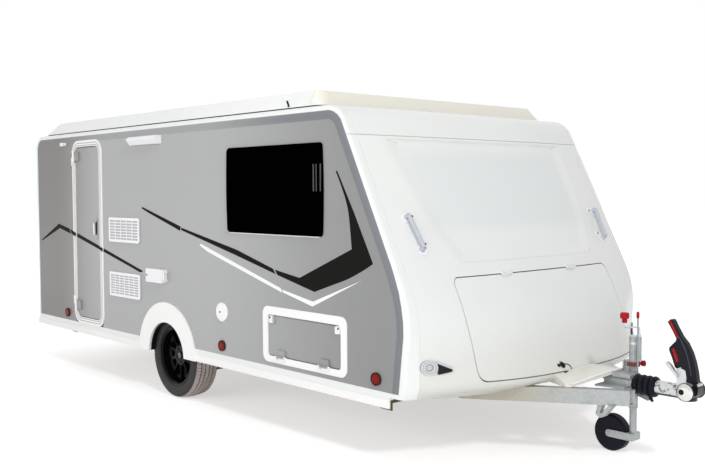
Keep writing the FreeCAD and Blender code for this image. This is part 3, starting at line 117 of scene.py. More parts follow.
class Finish:
    """One material and the nodes that make it."""

    def __init__(self, name):
        self.material = bpy.data.materials.new(name)
        self.material.use_nodes = True
        self.tree = self.material.node_tree
        self.tree.nodes.clear()
        self.place = None

    def node(self, kind, settings=None, sockets=None, out=0):
        made = self.tree.nodes.new("ShaderNode" + kind)
        for key, value in (settings or {}).items():
            setattr(made, key, value)
        if isinstance(sockets, dict):
            pairs = sockets.items()
        else:
            pairs = enumerate(sockets or [])
        for key, value in pairs:
            self.feed(made.inputs[key], value)
        return Wire(self, made.outputs[out])

    def feed(self, socket, value):
        if isinstance(value, Wire):
            self.tree.links.new(value.socket, socket)
        elif isinstance(value, (tuple, list)) and socket.type == "RGBA":
            socket.default_value = (*value[:3], 1.0)
        else:
            socket.default_value = value

    def mix(self, share, first, second):
        """A colour between two colours."""
        return self.node("Mix", {"data_type": "RGBA"}, {0: share, 6: first, 7: second}, out=2)

    def at(self):
        """The point on the piece at rest, as x, y and z in metres."""
        if self.place is None:
            spot = self.node("TexCoord", out=3)
            split = self.node("SeparateXYZ", sockets=[spot])
            outputs = split.socket.node.outputs
            self.spot = spot
            self.place = tuple(Wire(self, outputs[i]) for i in range(3))
        return self.place

    def noise(self, scale, detail=3.0, rough=0.5, stretch=(1.0, 1.0, 1.0)):
        self.at()
        spot = self.spot
        if stretch != (1.0, 1.0, 1.0):
            spot = self.node("VectorMath", {"operation": "MULTIPLY"}, [spot, stretch])
        sockets = {"Vector": spot, "Scale": scale, "Detail": detail, "Roughness": rough}
        return self.node("TexNoise", {}, sockets)

    def cells(self, scale, feature="F1", out=0):
        self.at()
        return self.node("TexVoronoi", {"feature": feature}, {"Vector": self.spot, "Scale": scale}, out)

    def bump(self, height, depth, strength=1.0, soft_edge=None):
        """A normal raised by a height from 0 to 1 times a depth in metres."""
        sockets = {"Strength": strength, "Distance": depth, "Height": height}
        if soft_edge:
            sockets["Normal"] = self.node("Bevel", {"samples": 4}, {"Radius": soft_edge})
        return self.node("Bump", {}, sockets)

    def edge(self, radius):
        return self.node("Bevel", {"samples": 4}, {"Radius": radius})

    def surface(self, colour, **sockets):
        shader = self.node("BsdfPrincipled", {}, {"Base Color": colour, **sockets})
        self.output(shader)
        return self.material

    def output(self, shader):
        made = self.tree.nodes.new("ShaderNodeOutputMaterial")
        self.tree.links.new(shader.socket, made.inputs["Surface"])


# The body's bowed front, with the part's own measures
KNEE_X = 2.326
KNEE_Z = 0.812
KNEE_R = 0.530
SLANT = math.radians(26.6)
TUCK = math.radians(6.8)
NOSE_X = 2.636
NOSE_Z = 0.440
NOSE_SLANT = math.radians(29.7)
NOSE_TUCK = 0.150
BODY_LOW = 0.356
BOW_POWER = 2.6
KNEE_REACH = KNEE_R * math.tan((SLANT + TUCK) / 2)
KNEE_CENTRE = (
    KNEE_X - KNEE_REACH * math.sin(SLANT) - KNEE_R * math.cos(SLANT),
    KNEE_Z + KNEE_REACH * math.cos(SLANT) - KNEE_R * math.sin(SLANT),
)

# The grey side skin: its edge, its border and where painted shade changes its grey
BORDER_W = 0.048
BORDER_BLUR = 0.004
EDGE_LAP = 0.0115
LOW_LAP = 0.014
LOW_LAP_FADE = (0.80, 1.05)
LAP_BLUR = 0.0015
SKIN_TOP = 1.8635
SKIN_REAR = -2.072
FRONT_CORNER_R = 0.125
REAR_CORNER_R = 0.090
REAR_SHADE = (-1.75, -0.85)
FRONT_SHADE = (0.45, 2.25)
BORDER_SHADE = (0.4, 1.6)
PROUD = 0.001
HINGE_X = -1.352
LOCKER_X = 1.4895
LUG_X = (0.279, 0.324)
LUG_Z = (0.653, 0.700)

# The front's fine line, painted shade with warm bounced light on its low part, and painted shade in its recess
LINE_Z = 1.7285
LINE_HALF = 0.0018
LINE_REAR_X = 1.80
LOW_WARM_SHADE_Z = (0.36, 0.80)
DISH_SIDE = (0.62, 0.76)
DISH_FOOT = (1.17, 1.26)
DISH_TOP = (1.60, 1.68)
TRIM_LAP_Y = 1.030
TRIM_LAP_Z = 0.3945

# The lifting roof's cream front and the join behind it
ROOF_JOIN = (1.505, 1.512)
ROOF_JOIN_X = 1.508
ROOF_JOIN_HALF = 0.003
ROOF_JOIN_Y = 0.94
ROOF_FRONT_Y = 0.985

# Grey streaks painted on the window as reflections, the front lamps' rings and tail, and the vents' cells
REFLECTION_STREAKS = ((1.602, 1.613), (1.628, 1.636), (1.662, 1.671))
STREAK_Z = (1.425, 1.575)
LAMP_Y = 0.948
LAMP_Z = 0.537
LAMP_RING = (0.0150, 0.0205)
LAMP_RIM_R = 0.0330
LAMP_TAIL = 0.0375
VENT_CELLS = (0.0065, 0.0110)

# The coupling head's marks, black underside and seam
MARKS_X = 3.205
MARKS_Z = 0.450
HEAD_UNDER_Z = 0.390
HEAD_NOSE_X = 3.286
HEAD_NOSE_Z = 0.452
HEAD_SEAM_X = 3.262
HEAD_SEAM_Y = (0.027, 0.029)

# Tyre tread
TYRE_R = 0.2915
GROOVES_Y = (-0.046, -0.016, 0.016, 0.046)
GROOVE_W = 0.008
TREAD_PALE_R = (TYRE_R - 0.014, TYRE_R - 0.0065)
WHEEL_Y = (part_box("tyre_left")[0].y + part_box("tyre_left")[1].y) / 2

# Colours in linear light
SHELL = (0.83, 0.84, 0.825)
SHELL_SHADE = (0.79, 0.805, 0.795)
CREAM = (0.82, 0.80, 0.71)
COVER_CREAM = (0.74, 0.71, 0.62)
# Painted shade: the low front, warmed by painted bounced light, and the recess
LOW_WARM_SHADE = (0.64, 0.635, 0.585)
DISH_SHADE_WHITE = (0.765, 0.795, 0.79)
SIDE_WHITE = (0.91, 0.905, 0.895)
SIDE_SHADE = (0.88, 0.875, 0.86)
GREY = (0.405, 0.407, 0.408)
# Painted shade: the side skin's grey towards the rear, towards the front and along its border
GREY_REAR_SHADED = (0.188, 0.175, 0.168)
GREY_FRONT_SHADED = (0.245, 0.246, 0.246)
GREY_EDGE_SHADED = (0.150, 0.163, 0.180)
LINE_GREY = (0.22, 0.23, 0.24)
STRIPE_BLACK = (0.010, 0.010, 0.009)
STRIPE_WHITE = (0.88, 0.89, 0.90)
ZINC = (0.46, 0.48, 0.485)
ZINC_DARK = (0.27, 0.29, 0.30)
# Painted reflection: warm light from below on the zinc under the body
ZINC_WARM_REFLECTION = (0.44, 0.39, 0.29)
STEEL = (0.62, 0.64, 0.66)
CAST = (0.66, 0.67, 0.68)
# Black paint, also used as painted shade inside the wheel arches
BLACK_PAINT_AND_SHADE = (0.006, 0.006, 0.006)
PLASTIC_BLACK = (0.010, 0.010, 0.013)
RUBBER = (0.006, 0.006, 0.012)
TYRE_SIDE = (0.042, 0.040, 0.040)
# The tread's pale colour: dust and painted bounced light
TYRE_TREAD_DUST_AND_LIGHT = (0.62, 0.53, 0.50)
RED = (0.36, 0.010, 0.014)
LENS_RED = (0.30, 0.008, 0.002)
FLOOR_BOARD = (0.30, 0.22, 0.14)
ACRYLIC = (0.0004, 0.0004, 0.0005)
LAMP_GLASS = (0.62, 0.64, 0.65)


def moulded(name, colour, shade, rough, coat=0.0, soft_edge=0.003, paint=None, gloss=0.5):
    """Moulded or painted skin: slow changes of shade and gloss, soft edges, and paint for lines and borders."""
    finish = Finish(name)
    slow = finish.noise(0.9, 2.0)
    tone = finish.mix(slow.step(0.3, 0.7), colour, shade)
    if paint:
        tone = paint(finish, tone)
    sheen = finish.noise(1.3, 2.0) * 0.03 + rough
    sockets = {"Coat Weight": coat, "Coat Roughness": 0.06, "Specular IOR Level": gloss}
    return finish.surface(tone, Roughness=sheen, Normal=finish.edge(soft_edge), **sockets)


def plane_gap(x, z, turn, reach):
    """How far a point seen from the side lies inside a line whose outward direction has the given turn."""
    return reach - (x * math.cos(turn) + z * math.sin(turn))


def skin_gap(finish):
    """How far inside the grey skin's edge a point lies. The edge follows the front and has round upper corners."""
    x, _, z = finish.at()
    lap_edge = (1.0 - z.step(*LOW_LAP_FADE)) * LOW_LAP + EDGE_LAP
    gap = None
    for share in (0.0, 0.25, 0.5, 0.75, 1.0):
        turn = -TUCK + (SLANT + TUCK) * share
        reach = KNEE_R + (KNEE_CENTRE[0] + AXLE_X) * math.cos(turn) + KNEE_CENTRE[1] * math.sin(turn)
        depth = plane_gap(x, z, turn, reach) - lap_edge
        gap = depth if gap is None else gap.low(depth)
    slant_reach = KNEE_R + (KNEE_CENTRE[0] + AXLE_X) * math.cos(SLANT) + KNEE_CENTRE[1] * math.sin(SLANT) - EDGE_LAP
    level = SKIN_TOP - FRONT_CORNER_R
    front = (slant_reach - FRONT_CORNER_R - level * math.sin(SLANT)) / math.cos(SLANT)
    for share in (0.25, 0.5, 0.75, 1.0):
        turn = SLANT + (math.pi / 2 - SLANT) * share
        gap = gap.low(plane_gap(x, z, turn, FRONT_CORNER_R + front * math.cos(turn) + level * math.sin(turn)))
    level = SKIN_TOP - REAR_CORNER_R
    rear = SKIN_REAR + AXLE_X + REAR_CORNER_R
    for share in (0.25, 0.5, 0.75, 1.0):
        turn = math.pi / 2 + math.pi / 2 * share
        gap = gap.low(plane_gap(x, z, turn, REAR_CORNER_R + rear * math.cos(turn) + level * math.sin(turn)))
    return gap


def grey_tone(finish):
    """The side skin's grey with painted shade: deeper towards both ends, and a darker bluish border along its front
    and top.
    """
    x, _, _ = finish.at()
    border = 1.0 - skin_gap(finish).step(BORDER_W - BORDER_BLUR, BORDER_W + BORDER_BLUR)
    # Painted shade: deeper towards the rear and the front, and a border that grows darker towards the front
    rear = 1.0 - (x - AXLE_X).step(*REAR_SHADE)
    front = (x - AXLE_X).step(*FRONT_SHADE)
    slow = finish.noise(0.8, 2.0)
    tone = finish.mix(rear * 0.97 + slow * 0.03, GREY, GREY_REAR_SHADED)
    tone = finish.mix(front, tone, GREY_FRONT_SHADED)
    strength = (x - AXLE_X).step(*BORDER_SHADE) * 0.5 + 0.3
    return finish.mix(border * strength, tone, GREY_EDGE_SHADED)


def front_line(finish):
    """1 on the fine line across the front, just below the roof."""
    x, _, z = finish.at()
    return ((z - LINE_Z).size() < LINE_HALF) * (x > LINE_REAR_X + AXLE_X)


def front_paint(finish, tone):
    """The front's fine line, a cooler white in the recess as painted shade, and a darker, warmer colour low down as
    painted shade with warm bounced light.
    """
    _, y, z = finish.at()
    # Painted shade with warm bounced light low down
    tone = finish.mix((1.0 - z.step(*LOW_WARM_SHADE_Z)) * 0.8, tone, LOW_WARM_SHADE)
    # Painted shade in the recess: a cooler, darker white
    dish = (1.0 - y.size().step(*DISH_SIDE)) * z.step(*DISH_FOOT) * (1.0 - z.step(*DISH_TOP))
    tone = finish.mix(dish, tone, DISH_SHADE_WHITE)
    return finish.mix(front_line(finish) * 0.8, tone, LINE_GREY)


def trim_paint(finish, tone):
    """The side's grey skin laps onto the front and roof trims, and the front's fine line runs round the trim."""
    _, y, z = finish.at()
    lap = skin_gap(finish).step(-LAP_BLUR, LAP_BLUR) * (y.size() > TRIM_LAP_Y) * (z > TRIM_LAP_Z)
    tone = finish.mix(front_line(finish) * 0.7, tone, LINE_GREY)
    return finish.mix(lap, tone, grey_tone(finish))


def arch_paint(finish, tone):
    """Only the wheel arch's outer face is white; what turns in behind it is painted black as the shade inside the
    arch.
    """
    _, y, _ = finish.at()
    # Painted shade: black inside the arch
    return finish.mix(y.size() < SIDE_Y - 0.004, tone, BLACK_PAINT_AND_SHADE)


def roof_paint(finish, tone):
    """Cream front, white sides, and the faint join between them."""
    x, y, _ = finish.at()
    front = (x - AXLE_X).step(*ROOF_JOIN) * (1.0 - (y.size() > ROOF_FRONT_Y))
    tone = finish.mix(front, tone, CREAM)
    join = ((x - AXLE_X - ROOF_JOIN_X).size() < ROOF_JOIN_HALF) * (y.size() > ROOF_JOIN_Y)
    return finish.mix(join * 0.25, tone, LINE_GREY)


def wall_skin():
    """Satin grey skin, white on the door's hinge knuckles and, on both sides, in two squares for the locker's lugs."""
    finish = Finish("wall grey skin")
    x, y, z = finish.at()
    proud = y.size() > SIDE_Y + PROUD
    hinge = proud * (x < HINGE_X + AXLE_X)
    aside = (x - LOCKER_X - AXLE_X).size()
    corner = (aside > LUG_X[0]) * (aside < LUG_X[1]) * (z > LUG_Z[0]) * (z < LUG_Z[1])
    bare = 1.0 - skin_gap(finish).step(-LAP_BLUR, LAP_BLUR)
    tone = finish.mix(hinge.high(corner).high(bare), grey_tone(finish), SHELL)
    sheen = finish.noise(1.2, 2.0) * 0.03 + 0.27
    return finish.surface(tone, Roughness=sheen, Normal=finish.edge(0.002), **{"Specular IOR Level": 0.4})


def zinc():
    """Hot-dip zinc: large dull spangles and small stains, and warmer under the body, where warm light reflected from
    below is painted on.
    """
    finish = Finish("galvanised steel")
    x, _, _ = finish.at()
    spangle = finish.cells(90.0, out=1)
    shade = finish.node("SeparateXYZ", sockets=[spangle])
    stain = finish.noise(12.0, 5.0, 0.6).step(0.45, 0.75)
    tone = finish.mix(shade * 0.35 + stain * 0.4, ZINC, ZINC_DARK)
    # Painted reflection: warmer towards the rear, under the body
    tone = finish.mix((1.0 - (x - AXLE_X).step(2.45, 2.85)) * 0.7, tone, ZINC_WARM_REFLECTION)
    rough = finish.noise(40.0, 4.0) * 0.2 + 0.36
    normal = finish.bump(finish.noise(160.0, 3.0), 0.0001, 0.4, 0.0015)
    return finish.surface(tone, Roughness=rough, Metallic=0.55, Normal=normal)


def metal(name, colour, rough, soft_edge=0.001):
    finish = Finish(name)
    sheen = finish.noise(60.0, 4.0) * 0.12 + rough
    normal = finish.bump(finish.noise(240.0, 3.0), 0.00005, 0.5, soft_edge)
    return finish.surface(colour, Roughness=sheen, Metallic=1.0, Normal=normal)


def dull(name, colour, rough, grain=220.0, depth=0.0001, soft_edge=0.0015, lift=1.35, gloss=0.15):
    """Plastic, rubber or paint with a fine grain and slightly paler worn patches."""
    finish = Finish(name)
    worn = finish.noise(14.0, 4.0, 0.6).step(0.5, 0.8)
    tone = finish.mix(worn * 0.6, colour, tuple(part * lift for part in colour))
    sheen = finish.noise(30.0, 3.0) * 0.12 + rough
    normal = finish.bump(finish.noise(grain, 3.0), depth, 0.6, soft_edge)
    return finish.surface(tone, Roughness=sheen, Normal=normal, **{"Specular IOR Level": gloss})


def tinted_glass():
    """Dark tinted acrylic, near black and very smooth, with grey streaks painted on the kerb side as reflections."""
    finish = Finish("tinted acrylic")
    x, y, z = finish.at()
    tone = ACRYLIC
    # Painted reflection: grey streaks on the kerb-side window
    for start, end in REFLECTION_STREAKS:
        streak = (x > start + AXLE_X) * (x < end + AXLE_X) * (z > STREAK_Z[0]) * (z < STREAK_Z[1]) * (y < 0.0)
        tone = finish.mix(streak, tone, (0.09, 0.09, 0.09))
    sheen = finish.noise(3.0, 2.0) * 0.02 + 0.035
    return finish.surface(tone, Roughness=sheen, IOR=1.49, Normal=finish.edge(0.004), **{"Specular IOR Level": 0.0})


def lens(name, colour, deep):
    """A moulded lamp lens with fine prisms behind a glossy face."""
    finish = Finish(name)
    x, _, z = finish.at()
    prisms = (x * 500.0).wave() * (z * 500.0).wave()
    tone = finish.mix(prisms.step(-0.6, 0.9), deep, colour)
    normal = finish.bump(prisms, 0.0001, 0.3, 0.0015)
    return finish.surface(tone, Roughness=0.16, Normal=normal, **{"Specular IOR Level": 0.12})


def front_lamp_glass():
    """Clear lens with rings round its middle and a grey rim, and the black tail beside it."""
    finish = Finish("front lamp lens")
    _, y, z = finish.at()
    across = y.size() - LAMP_Y
    up = z - LAMP_Z
    radius = finish.node("Math", {"operation": "SQRT"}, [across * across + up * up])
    tone = finish.mix((radius * 700.0).wave().step(-0.6, 0.6) * 0.6, LAMP_GLASS, (0.30, 0.32, 0.33))
    tone = finish.mix((radius > LAMP_RING[0]) * (radius < LAMP_RING[1]), tone, (0.10, 0.105, 0.11))
    tone = finish.mix(radius > LAMP_RIM_R, tone, (0.30, 0.31, 0.31))
    black = y.size() < LAMP_Y - LAMP_TAIL
    tone = finish.mix(black, tone, BLACK_PAINT_AND_SHADE)
    rough = black * 0.3 + 0.12
    return finish.surface(tone, Roughness=rough, Normal=finish.edge(0.0015), **{"Specular IOR Level": 0.25})


def head_casting():
    """Pale cast and plated head, black on its underside, under its nose and in the seam beside it."""
    finish = Finish("coupling casting")
    x, y, z = finish.at()
    pits = finish.noise(180.0, 4.0, 0.6)
    tone = finish.mix(pits.step(0.4, 0.8) * 0.4, CAST, ZINC_DARK)
    marks = finish.noise(34.0, 4.0, 0.6).step(0.52, 0.60) * (x < MARKS_X + AXLE_X) * (z < MARKS_Z)
    tone = finish.mix(marks * 0.85, tone, (0.05, 0.052, 0.058))
    nose = (x > HEAD_NOSE_X + AXLE_X) * (z < HEAD_NOSE_Z)
    seam = (x > HEAD_SEAM_X + AXLE_X) * (y.size() > HEAD_SEAM_Y[0]) * (y.size() < HEAD_SEAM_Y[1])
    black = (z < HEAD_UNDER_Z).high(nose).high(seam)
    tone = finish.mix(black, tone, BLACK_PAINT_AND_SHADE)
    rough = finish.noise(60.0, 4.0) * 0.15 + 0.30
    metal_share = 0.6 - black * 0.6
    return finish.surface(tone, Roughness=rough, Metallic=metal_share, Normal=finish.bump(pits, 0.0002, 0.4, 0.0015))


def vent_plastic():
    """Satin white plastic, in shade at the bottom of the grid's cells."""
    finish = Finish("vent plastic")
    _, y, _ = finish.at()
    deep = 1.0 - y.size().step(SIDE_Y + VENT_CELLS[0], SIDE_Y + VENT_CELLS[1])
    tone = finish.mix(deep, (0.91, 0.905, 0.92), (0.50, 0.50, 0.53))
    sheen = finish.noise(2.0, 2.0) * 0.03 + 0.36
    return finish.surface(tone, Roughness=sheen, Normal=finish.edge(0.0012))


def tyre_rubber():
    """Grey-brown tread, pale from dust and from painted bounced light, grooves painted dark as shade, and a darker
    sidewall.
    """
    finish = Finish("tyre rubber")
    x, y, z = finish.at()
    up = z - AXLE_Z
    along = x - AXLE_X
    radius = finish.node("Math", {"operation": "SQRT"}, [up * up + along * along])
    dust = finish.noise(18.0, 5.0, 0.6)
    # The tread's pale colour is partly dust and partly painted bounced light
    share = radius.step(*TREAD_PALE_R) * (dust * 0.4 + 0.75)
    across = (y.size() - WHEEL_Y).size()
    # Painted shade: the grooves keep the sidewall's dark colour
    for middle in GROOVES_Y[2:]:
        share = share * ((across - middle).size() > GROOVE_W * 0.5)
    tone = finish.mix(share, TYRE_SIDE, TYRE_TREAD_DUST_AND_LIGHT)
    rough = dust * 0.2 + 0.62
    normal = finish.bump(finish.noise(260.0, 4.0), 0.0001, 0.5, 0.001)
    return finish.surface(tone, Roughness=rough, Normal=normal, **{"Specular IOR Level": 0.3})


def woven(name, colour, shade):
    """Coated cloth with a fine plain weave."""
    finish = Finish(name)
    x, y, z = finish.at()
    weave = ((x + y) * 4200.0).wave() * (z * 4200.0).wave()
    slow = finish.noise(3.0, 3.0).step(0.3, 0.7)
    tone = finish.mix(slow, colour, shade)
    normal = finish.bump(weave, 0.00012, 0.5)
    return finish.surface(tone, Roughness=0.72, Normal=normal)


def board():
    """Sealed plywood underside with a faint grain along the vehicle."""
    finish = Finish("sealed plywood")
    grain = finish.noise(9.0, 6.0, 0.65, (0.12, 1.0, 1.0))
    tone = finish.mix(grain.step(0.35, 0.7), FLOOR_BOARD, tuple(part * 0.6 for part in FLOOR_BOARD))
    normal = finish.bump(grain, 0.0004, 0.4, 0.002)
    return finish.surface(tone, Roughness=0.6, Normal=normal)


GLOSS_WHITE = moulded("gloss white moulding", SIDE_WHITE, SIDE_SHADE, 0.24, coat=0.2)
FRONT_WHITE = moulded("front white moulding", SHELL, SHELL_SHADE, 0.24, coat=0.2, paint=front_paint)
TRIM_WHITE = moulded("edge trim moulding", SHELL, SHELL_SHADE, 0.28, coat=0.1, paint=trim_paint)
ARCH_WHITE = moulded("wheel arch moulding", SIDE_WHITE, SIDE_SHADE, 0.28, coat=0.1, paint=arch_paint)
ROOF_WHITE = moulded("roof moulding", SHELL, SHELL_SHADE, 0.34, paint=roof_paint)
COVER_WHITE = moulded("drawbar cover moulding", COVER_CREAM, (0.80, 0.78, 0.72), 0.34)
SATIN_WHITE = moulded("satin white plastic", (0.89, 0.885, 0.905), (0.85, 0.845, 0.87), 0.36)
SILL_PALE = moulded("pale sill skin", SIDE_WHITE, SIDE_SHADE, 0.42)
WALL_GREY = wall_skin()
GALVANISED = zinc()
BRIGHT = metal("bright steel", STEEL, 0.24)
CHROME = metal("chrome", (0.80, 0.81, 0.82), 0.08)
CAST_PALE = head_casting()
ALLOY_LIP = metal("dark alloy lip", (0.045, 0.045, 0.048), 0.18)
CLAMP_RED = dull("red brown clamp paint", (0.17, 0.065, 0.055), 0.45)
VENT_WHITE = vent_plastic()
# The grab handles' pale blue grey is partly their own colour and partly painted shade from their side faces
HANDLE_BLUE_SHADED = moulded("pale blue grey lacquer", (0.50, 0.54, 0.60), (0.44, 0.48, 0.54), 0.26)
DULL_ROD = metal("dull plated rod", (0.36, 0.37, 0.38), 0.38)
CAP_GREY = metal("dark grey centre cap", (0.13, 0.13, 0.14), 0.3)
DOME_STEEL = metal("turned steel cap", (0.70, 0.69, 0.66), 0.16)
PLATE_GREY = metal("brushed handle plate", (0.42, 0.42, 0.42), 0.42)
# Painted highlight: the blue grey of the handle's spine
SPINE_HIGHLIGHT_GREY = dull("blue grey plastic", (0.050, 0.065, 0.095), 0.35)
# Near black for locks, keys, screws and hollows, and painted shade round the friction pads
DARK_PARTS_AND_SHADE = dull("dark recess", (0.008, 0.008, 0.008), 0.6)
CHASSIS_BLACK = dull("black chassis paint", (0.016, 0.016, 0.016), 0.48)
ALLOY_BLACK = moulded(
    "gloss black alloy", (0.003, 0.003, 0.003), (0.004, 0.004, 0.005), 0.10, soft_edge=0.0015, gloss=0.10
)
FOOT_BROWN = dull("brown steady paint", (0.14, 0.105, 0.06), 0.5)
GROOVE_GREY = dull("grey groove", (0.34, 0.34, 0.34), 0.5)
RIM_BROWN = dull("dark brown rubber", (0.045, 0.016, 0.012), 0.4)
RUBBER_BLACK = dull("black rubber", RUBBER, 0.42)
PLASTIC = dull("black plastic", PLASTIC_BLACK, 0.34)
RED_PLASTIC = dull("red plastic", RED, 0.34)
ACRYLIC_DARK = tinted_glass()
MARKER_RED = lens("orange red lens", LENS_RED, (0.13, 0.005, 0.002))
LAMP_CLEAR = front_lamp_glass()
TYRE = tyre_rubber()
BELLOWS_CLOTH = woven("bellows cloth", (0.52, 0.53, 0.51), (0.44, 0.45, 0.44))
PLYWOOD = board()

SLOT_FINISH = {
    "shell_white": GLOSS_WHITE,
    "wall_grey": WALL_GREY,
    "floor_board": PLYWOOD,
    "window_acrylic": ACRYLIC_DARK,
    "galvanised_steel": GALVANISED,
    "dark_steel": CHASSIS_BLACK,
    "tyre_rubber": TYRE,
    "black_alloy": ALLOY_BLACK,
    "black_rubber": RUBBER_BLACK,
    "bellows_fabric": BELLOWS_CLOTH,
    "bright_steel": BRIGHT,
    "black_plastic": PLASTIC,
    "marker_lens": MARKER_RED,
    "clear_lens": LAMP_CLEAR,
    "sill_grey": SILL_PALE,
}
NODE_FINISH = {
    "lifting_roof": ROOF_WHITE,
    "front_shell": FRONT_WHITE,
    "front_locker_lid": FRONT_WHITE,
    "edge_trims": TRIM_WHITE,
    "wheel_arches": ARCH_WHITE,
    "steady_front_left": FOOT_BROWN,
    "steady_front_right": FOOT_BROWN,
    "drawbar_cover": COVER_WHITE,
    "fridge_vents": VENT_WHITE,
    "water_filler": GLOSS_WHITE,
    "grab_handles": HANDLE_BLUE_SHADED,
    "awning_light": SATIN_WHITE,
    "service_box": SATIN_WHITE,
    "service_flap": SATIN_WHITE,
    "door_handle": CHROME,
    "coupling_head": CAST_PALE,
    "jockey_wheel": RUBBER_BLACK,
}


def paint_node(node, finish):
    """Gives every slot of a CAD node one finish."""
    made = NODES[node]
    if not made.material_slots:
        made.data.materials.append(finish)
    for place in made.material_slots:
        place.material = finish


SLOT_OF = {}
for part in frame["record"]["subparts"]:
    SLOT_OF[part["node"]] = part["material_slot"]
for node in NODES:
    paint_node(node, NODE_FINISH.get(node) or SLOT_FINISH[SLOT_OF[node]])


# Mesh tools: x is measured from the axle, forward, in metres, and each piece is moved into the frame at the end
def loop_of(outline, plane, level):
    """The points of an outline at a level across its plane: "y" holds (x, z), "x" holds (y, z), "z" holds (x, y)."""
    if plane == "y":
        return [(u, level, v) for u, v in outline]
    if plane == "x":
        return [(level, u, v) for u, v in outline]
    return [(u, v, level) for u, v in outline]


def skin(loops, closed=False, capped=True):
    """A shell through loops of equally many points."""
    count = len(loops[0])
    assert all(len(loop) == count for loop in loops)
    points = [point for loop in loops for point in loop]
    faces = []
    rounds = len(loops) if closed else len(loops) - 1
    for k in range(rounds):
        here = k * count
        there = ((k + 1) % len(loops)) * count
        for i in range(count):
            j = (i + 1) % count
            faces.append((here + i, here + j, there + j, there + i))
    if capped and not closed:
        faces.append(tuple(reversed(range(count))))
        faces.append(tuple(range((len(loops) - 1) * count, len(loops) * count)))
    return points, faces


def slab(outline, plane, low, high):
    return skin([loop_of(outline, plane, low), loop_of(outline, plane, high)])


def pillow(outline, plane, low, high, soft, rounds=3):
    """A slab whose edge on the high side is rounded over by soft metres."""
    loops = [loop_of(outline, plane, low)]
    sign = 1.0 if high > low else -1.0
    for k in range(rounds + 1):
        turn = math.pi / 2 * k / rounds
        inset = soft * (1.0 - math.cos(turn))
        level = high - sign * soft * (1.0 - math.sin(turn))
        loops.append(loop_of(inward(outline, inset), plane, level))
    return skin(loops)


def inward(outline, inset):
    """The outline moved inwards by inset."""
    if inset == 0.0:
        return list(outline)
    count = len(outline)
    area = sum(outline[i - 1][0] * outline[i][1] - outline[i][0] * outline[i - 1][1] for i in range(count))
    turn = 1.0 if area > 0 else -1.0
    moved = []
    for i in range(count):
        before = Vector(outline[i - 1])
        here = Vector(outline[i])
        after = Vector(outline[(i + 1) % count])
        first = (here - before).normalized()
        second = (after - here).normalized()
        normal = Vector((-(first.y + second.y), first.x + second.x)) * turn
        normal.normalize()
        side = Vector((-first.y, first.x)) * turn
        moved.append(tuple(here + normal * (inset / max(0.35, normal.dot(side)))))
    return moved


def rounded(corners, radius, steps=5):
    """A polygon with rounded corners. Radius is one number or one for each corner."""
    count = len(corners)
    radii = radius if isinstance(radius, (list, tuple)) else [radius] * count
    outline = []
    for i in range(count):
        here = Vector(corners[i])
        before = (Vector(corners[i - 1]) - here).normalized()
        after = (Vector(corners[(i + 1) % count]) - here).normalized()
        if radii[i] <= 0.0:
            outline.append(tuple(here))
            continue
        half = before.angle(after) / 2
        reach = radii[i] / math.tan(half)
        middle = here + (before + after).normalized() * (radii[i] / math.sin(half))
        start = here + before * reach - middle
        end = here + after * reach - middle
        swing = start.angle_signed(end)
        for k in range(steps + 1):
            turn = -swing * k / steps
            c, s = math.cos(turn), math.sin(turn)
            outline.append((middle.x + start.x * c - start.y * s, middle.y + start.x * s + start.y * c))
    return outline


def oblong(u0, v0, u1, v1, radius, steps=5):
    return rounded([(u0, v0), (u1, v0), (u1, v1), (u0, v1)], radius, steps)


def circle(u, v, radius, steps=24):
    return [
        (u + radius * math.cos(2 * math.pi * k / steps), v + radius * math.sin(2 * math.pi * k / steps))
        for k in range(steps)
    ]


def frame_ring(outer, inner, plane, low, high):
    """A frame between two outlines of equally many points."""
    edges = ((outer, low), (outer, high), (inner, high), (inner, low))
    return skin([loop_of(outline, plane, level) for outline, level in edges], closed=True)


def lathe(profile, centre, axis, steps=48):
    """A solid of revolution. The profile holds (distance along the axis, radius)."""
    axis = Vector(axis).normalized()
    side = axis.orthogonal().normalized()
    other = axis.cross(side)
    centre = Vector(centre)
    loops = []
    for k in range(steps):
        turn = 2 * math.pi * k / steps
        out = side * math.cos(turn) + other * math.sin(turn)
        loops.append([tuple(centre + axis * along + out * radius) for along, radius in profile])
    return skin(loops, closed=True, capped=False)


def hose(path, radius, sides=12):
    """A round bar along a path. Radius is one number or one for each point."""
    path = [Vector(point) for point in path]
    radii = radius if isinstance(radius, (list, tuple)) else [radius] * len(path)
    loops = []
    side = None
    for i, here in enumerate(path):
        before = path[max(i - 1, 0)]
        after = path[min(i + 1, len(path) - 1)]
        run = (after - before).normalized()
        side = run.orthogonal() if side is None else side - run * side.dot(run)
        side.normalize()
        other = run.cross(side)
        loop = []
        for k in range(sides):
            turn = 2 * math.pi * k / sides
            loop.append(tuple(here + (side * math.cos(turn) + other * math.sin(turn)) * radii[i]))
        loops.append(loop)
    return skin(loops)


def curve(points, steps=8):
    """A smooth line through points."""
    points = [Vector(point) for point in points]
    ends = [points[0] * 2 - points[1], *points, points[-1] * 2 - points[-2]]
    line = []
    for i in range(1, len(ends) - 2):
        a, b, c, d = ends[i - 1 : i + 3]
        for k in range(steps):
            t = k / steps
            slope = (c - a) * t
            bend = (a * 2 - b * 5 + c * 4 - d) * t * t
            line.append(((b * 2) + slope + bend + (b * 3 - a - c * 3 + d) * t**3) / 2)
    line.append(points[-1])
    return [tuple(point) for point in line]


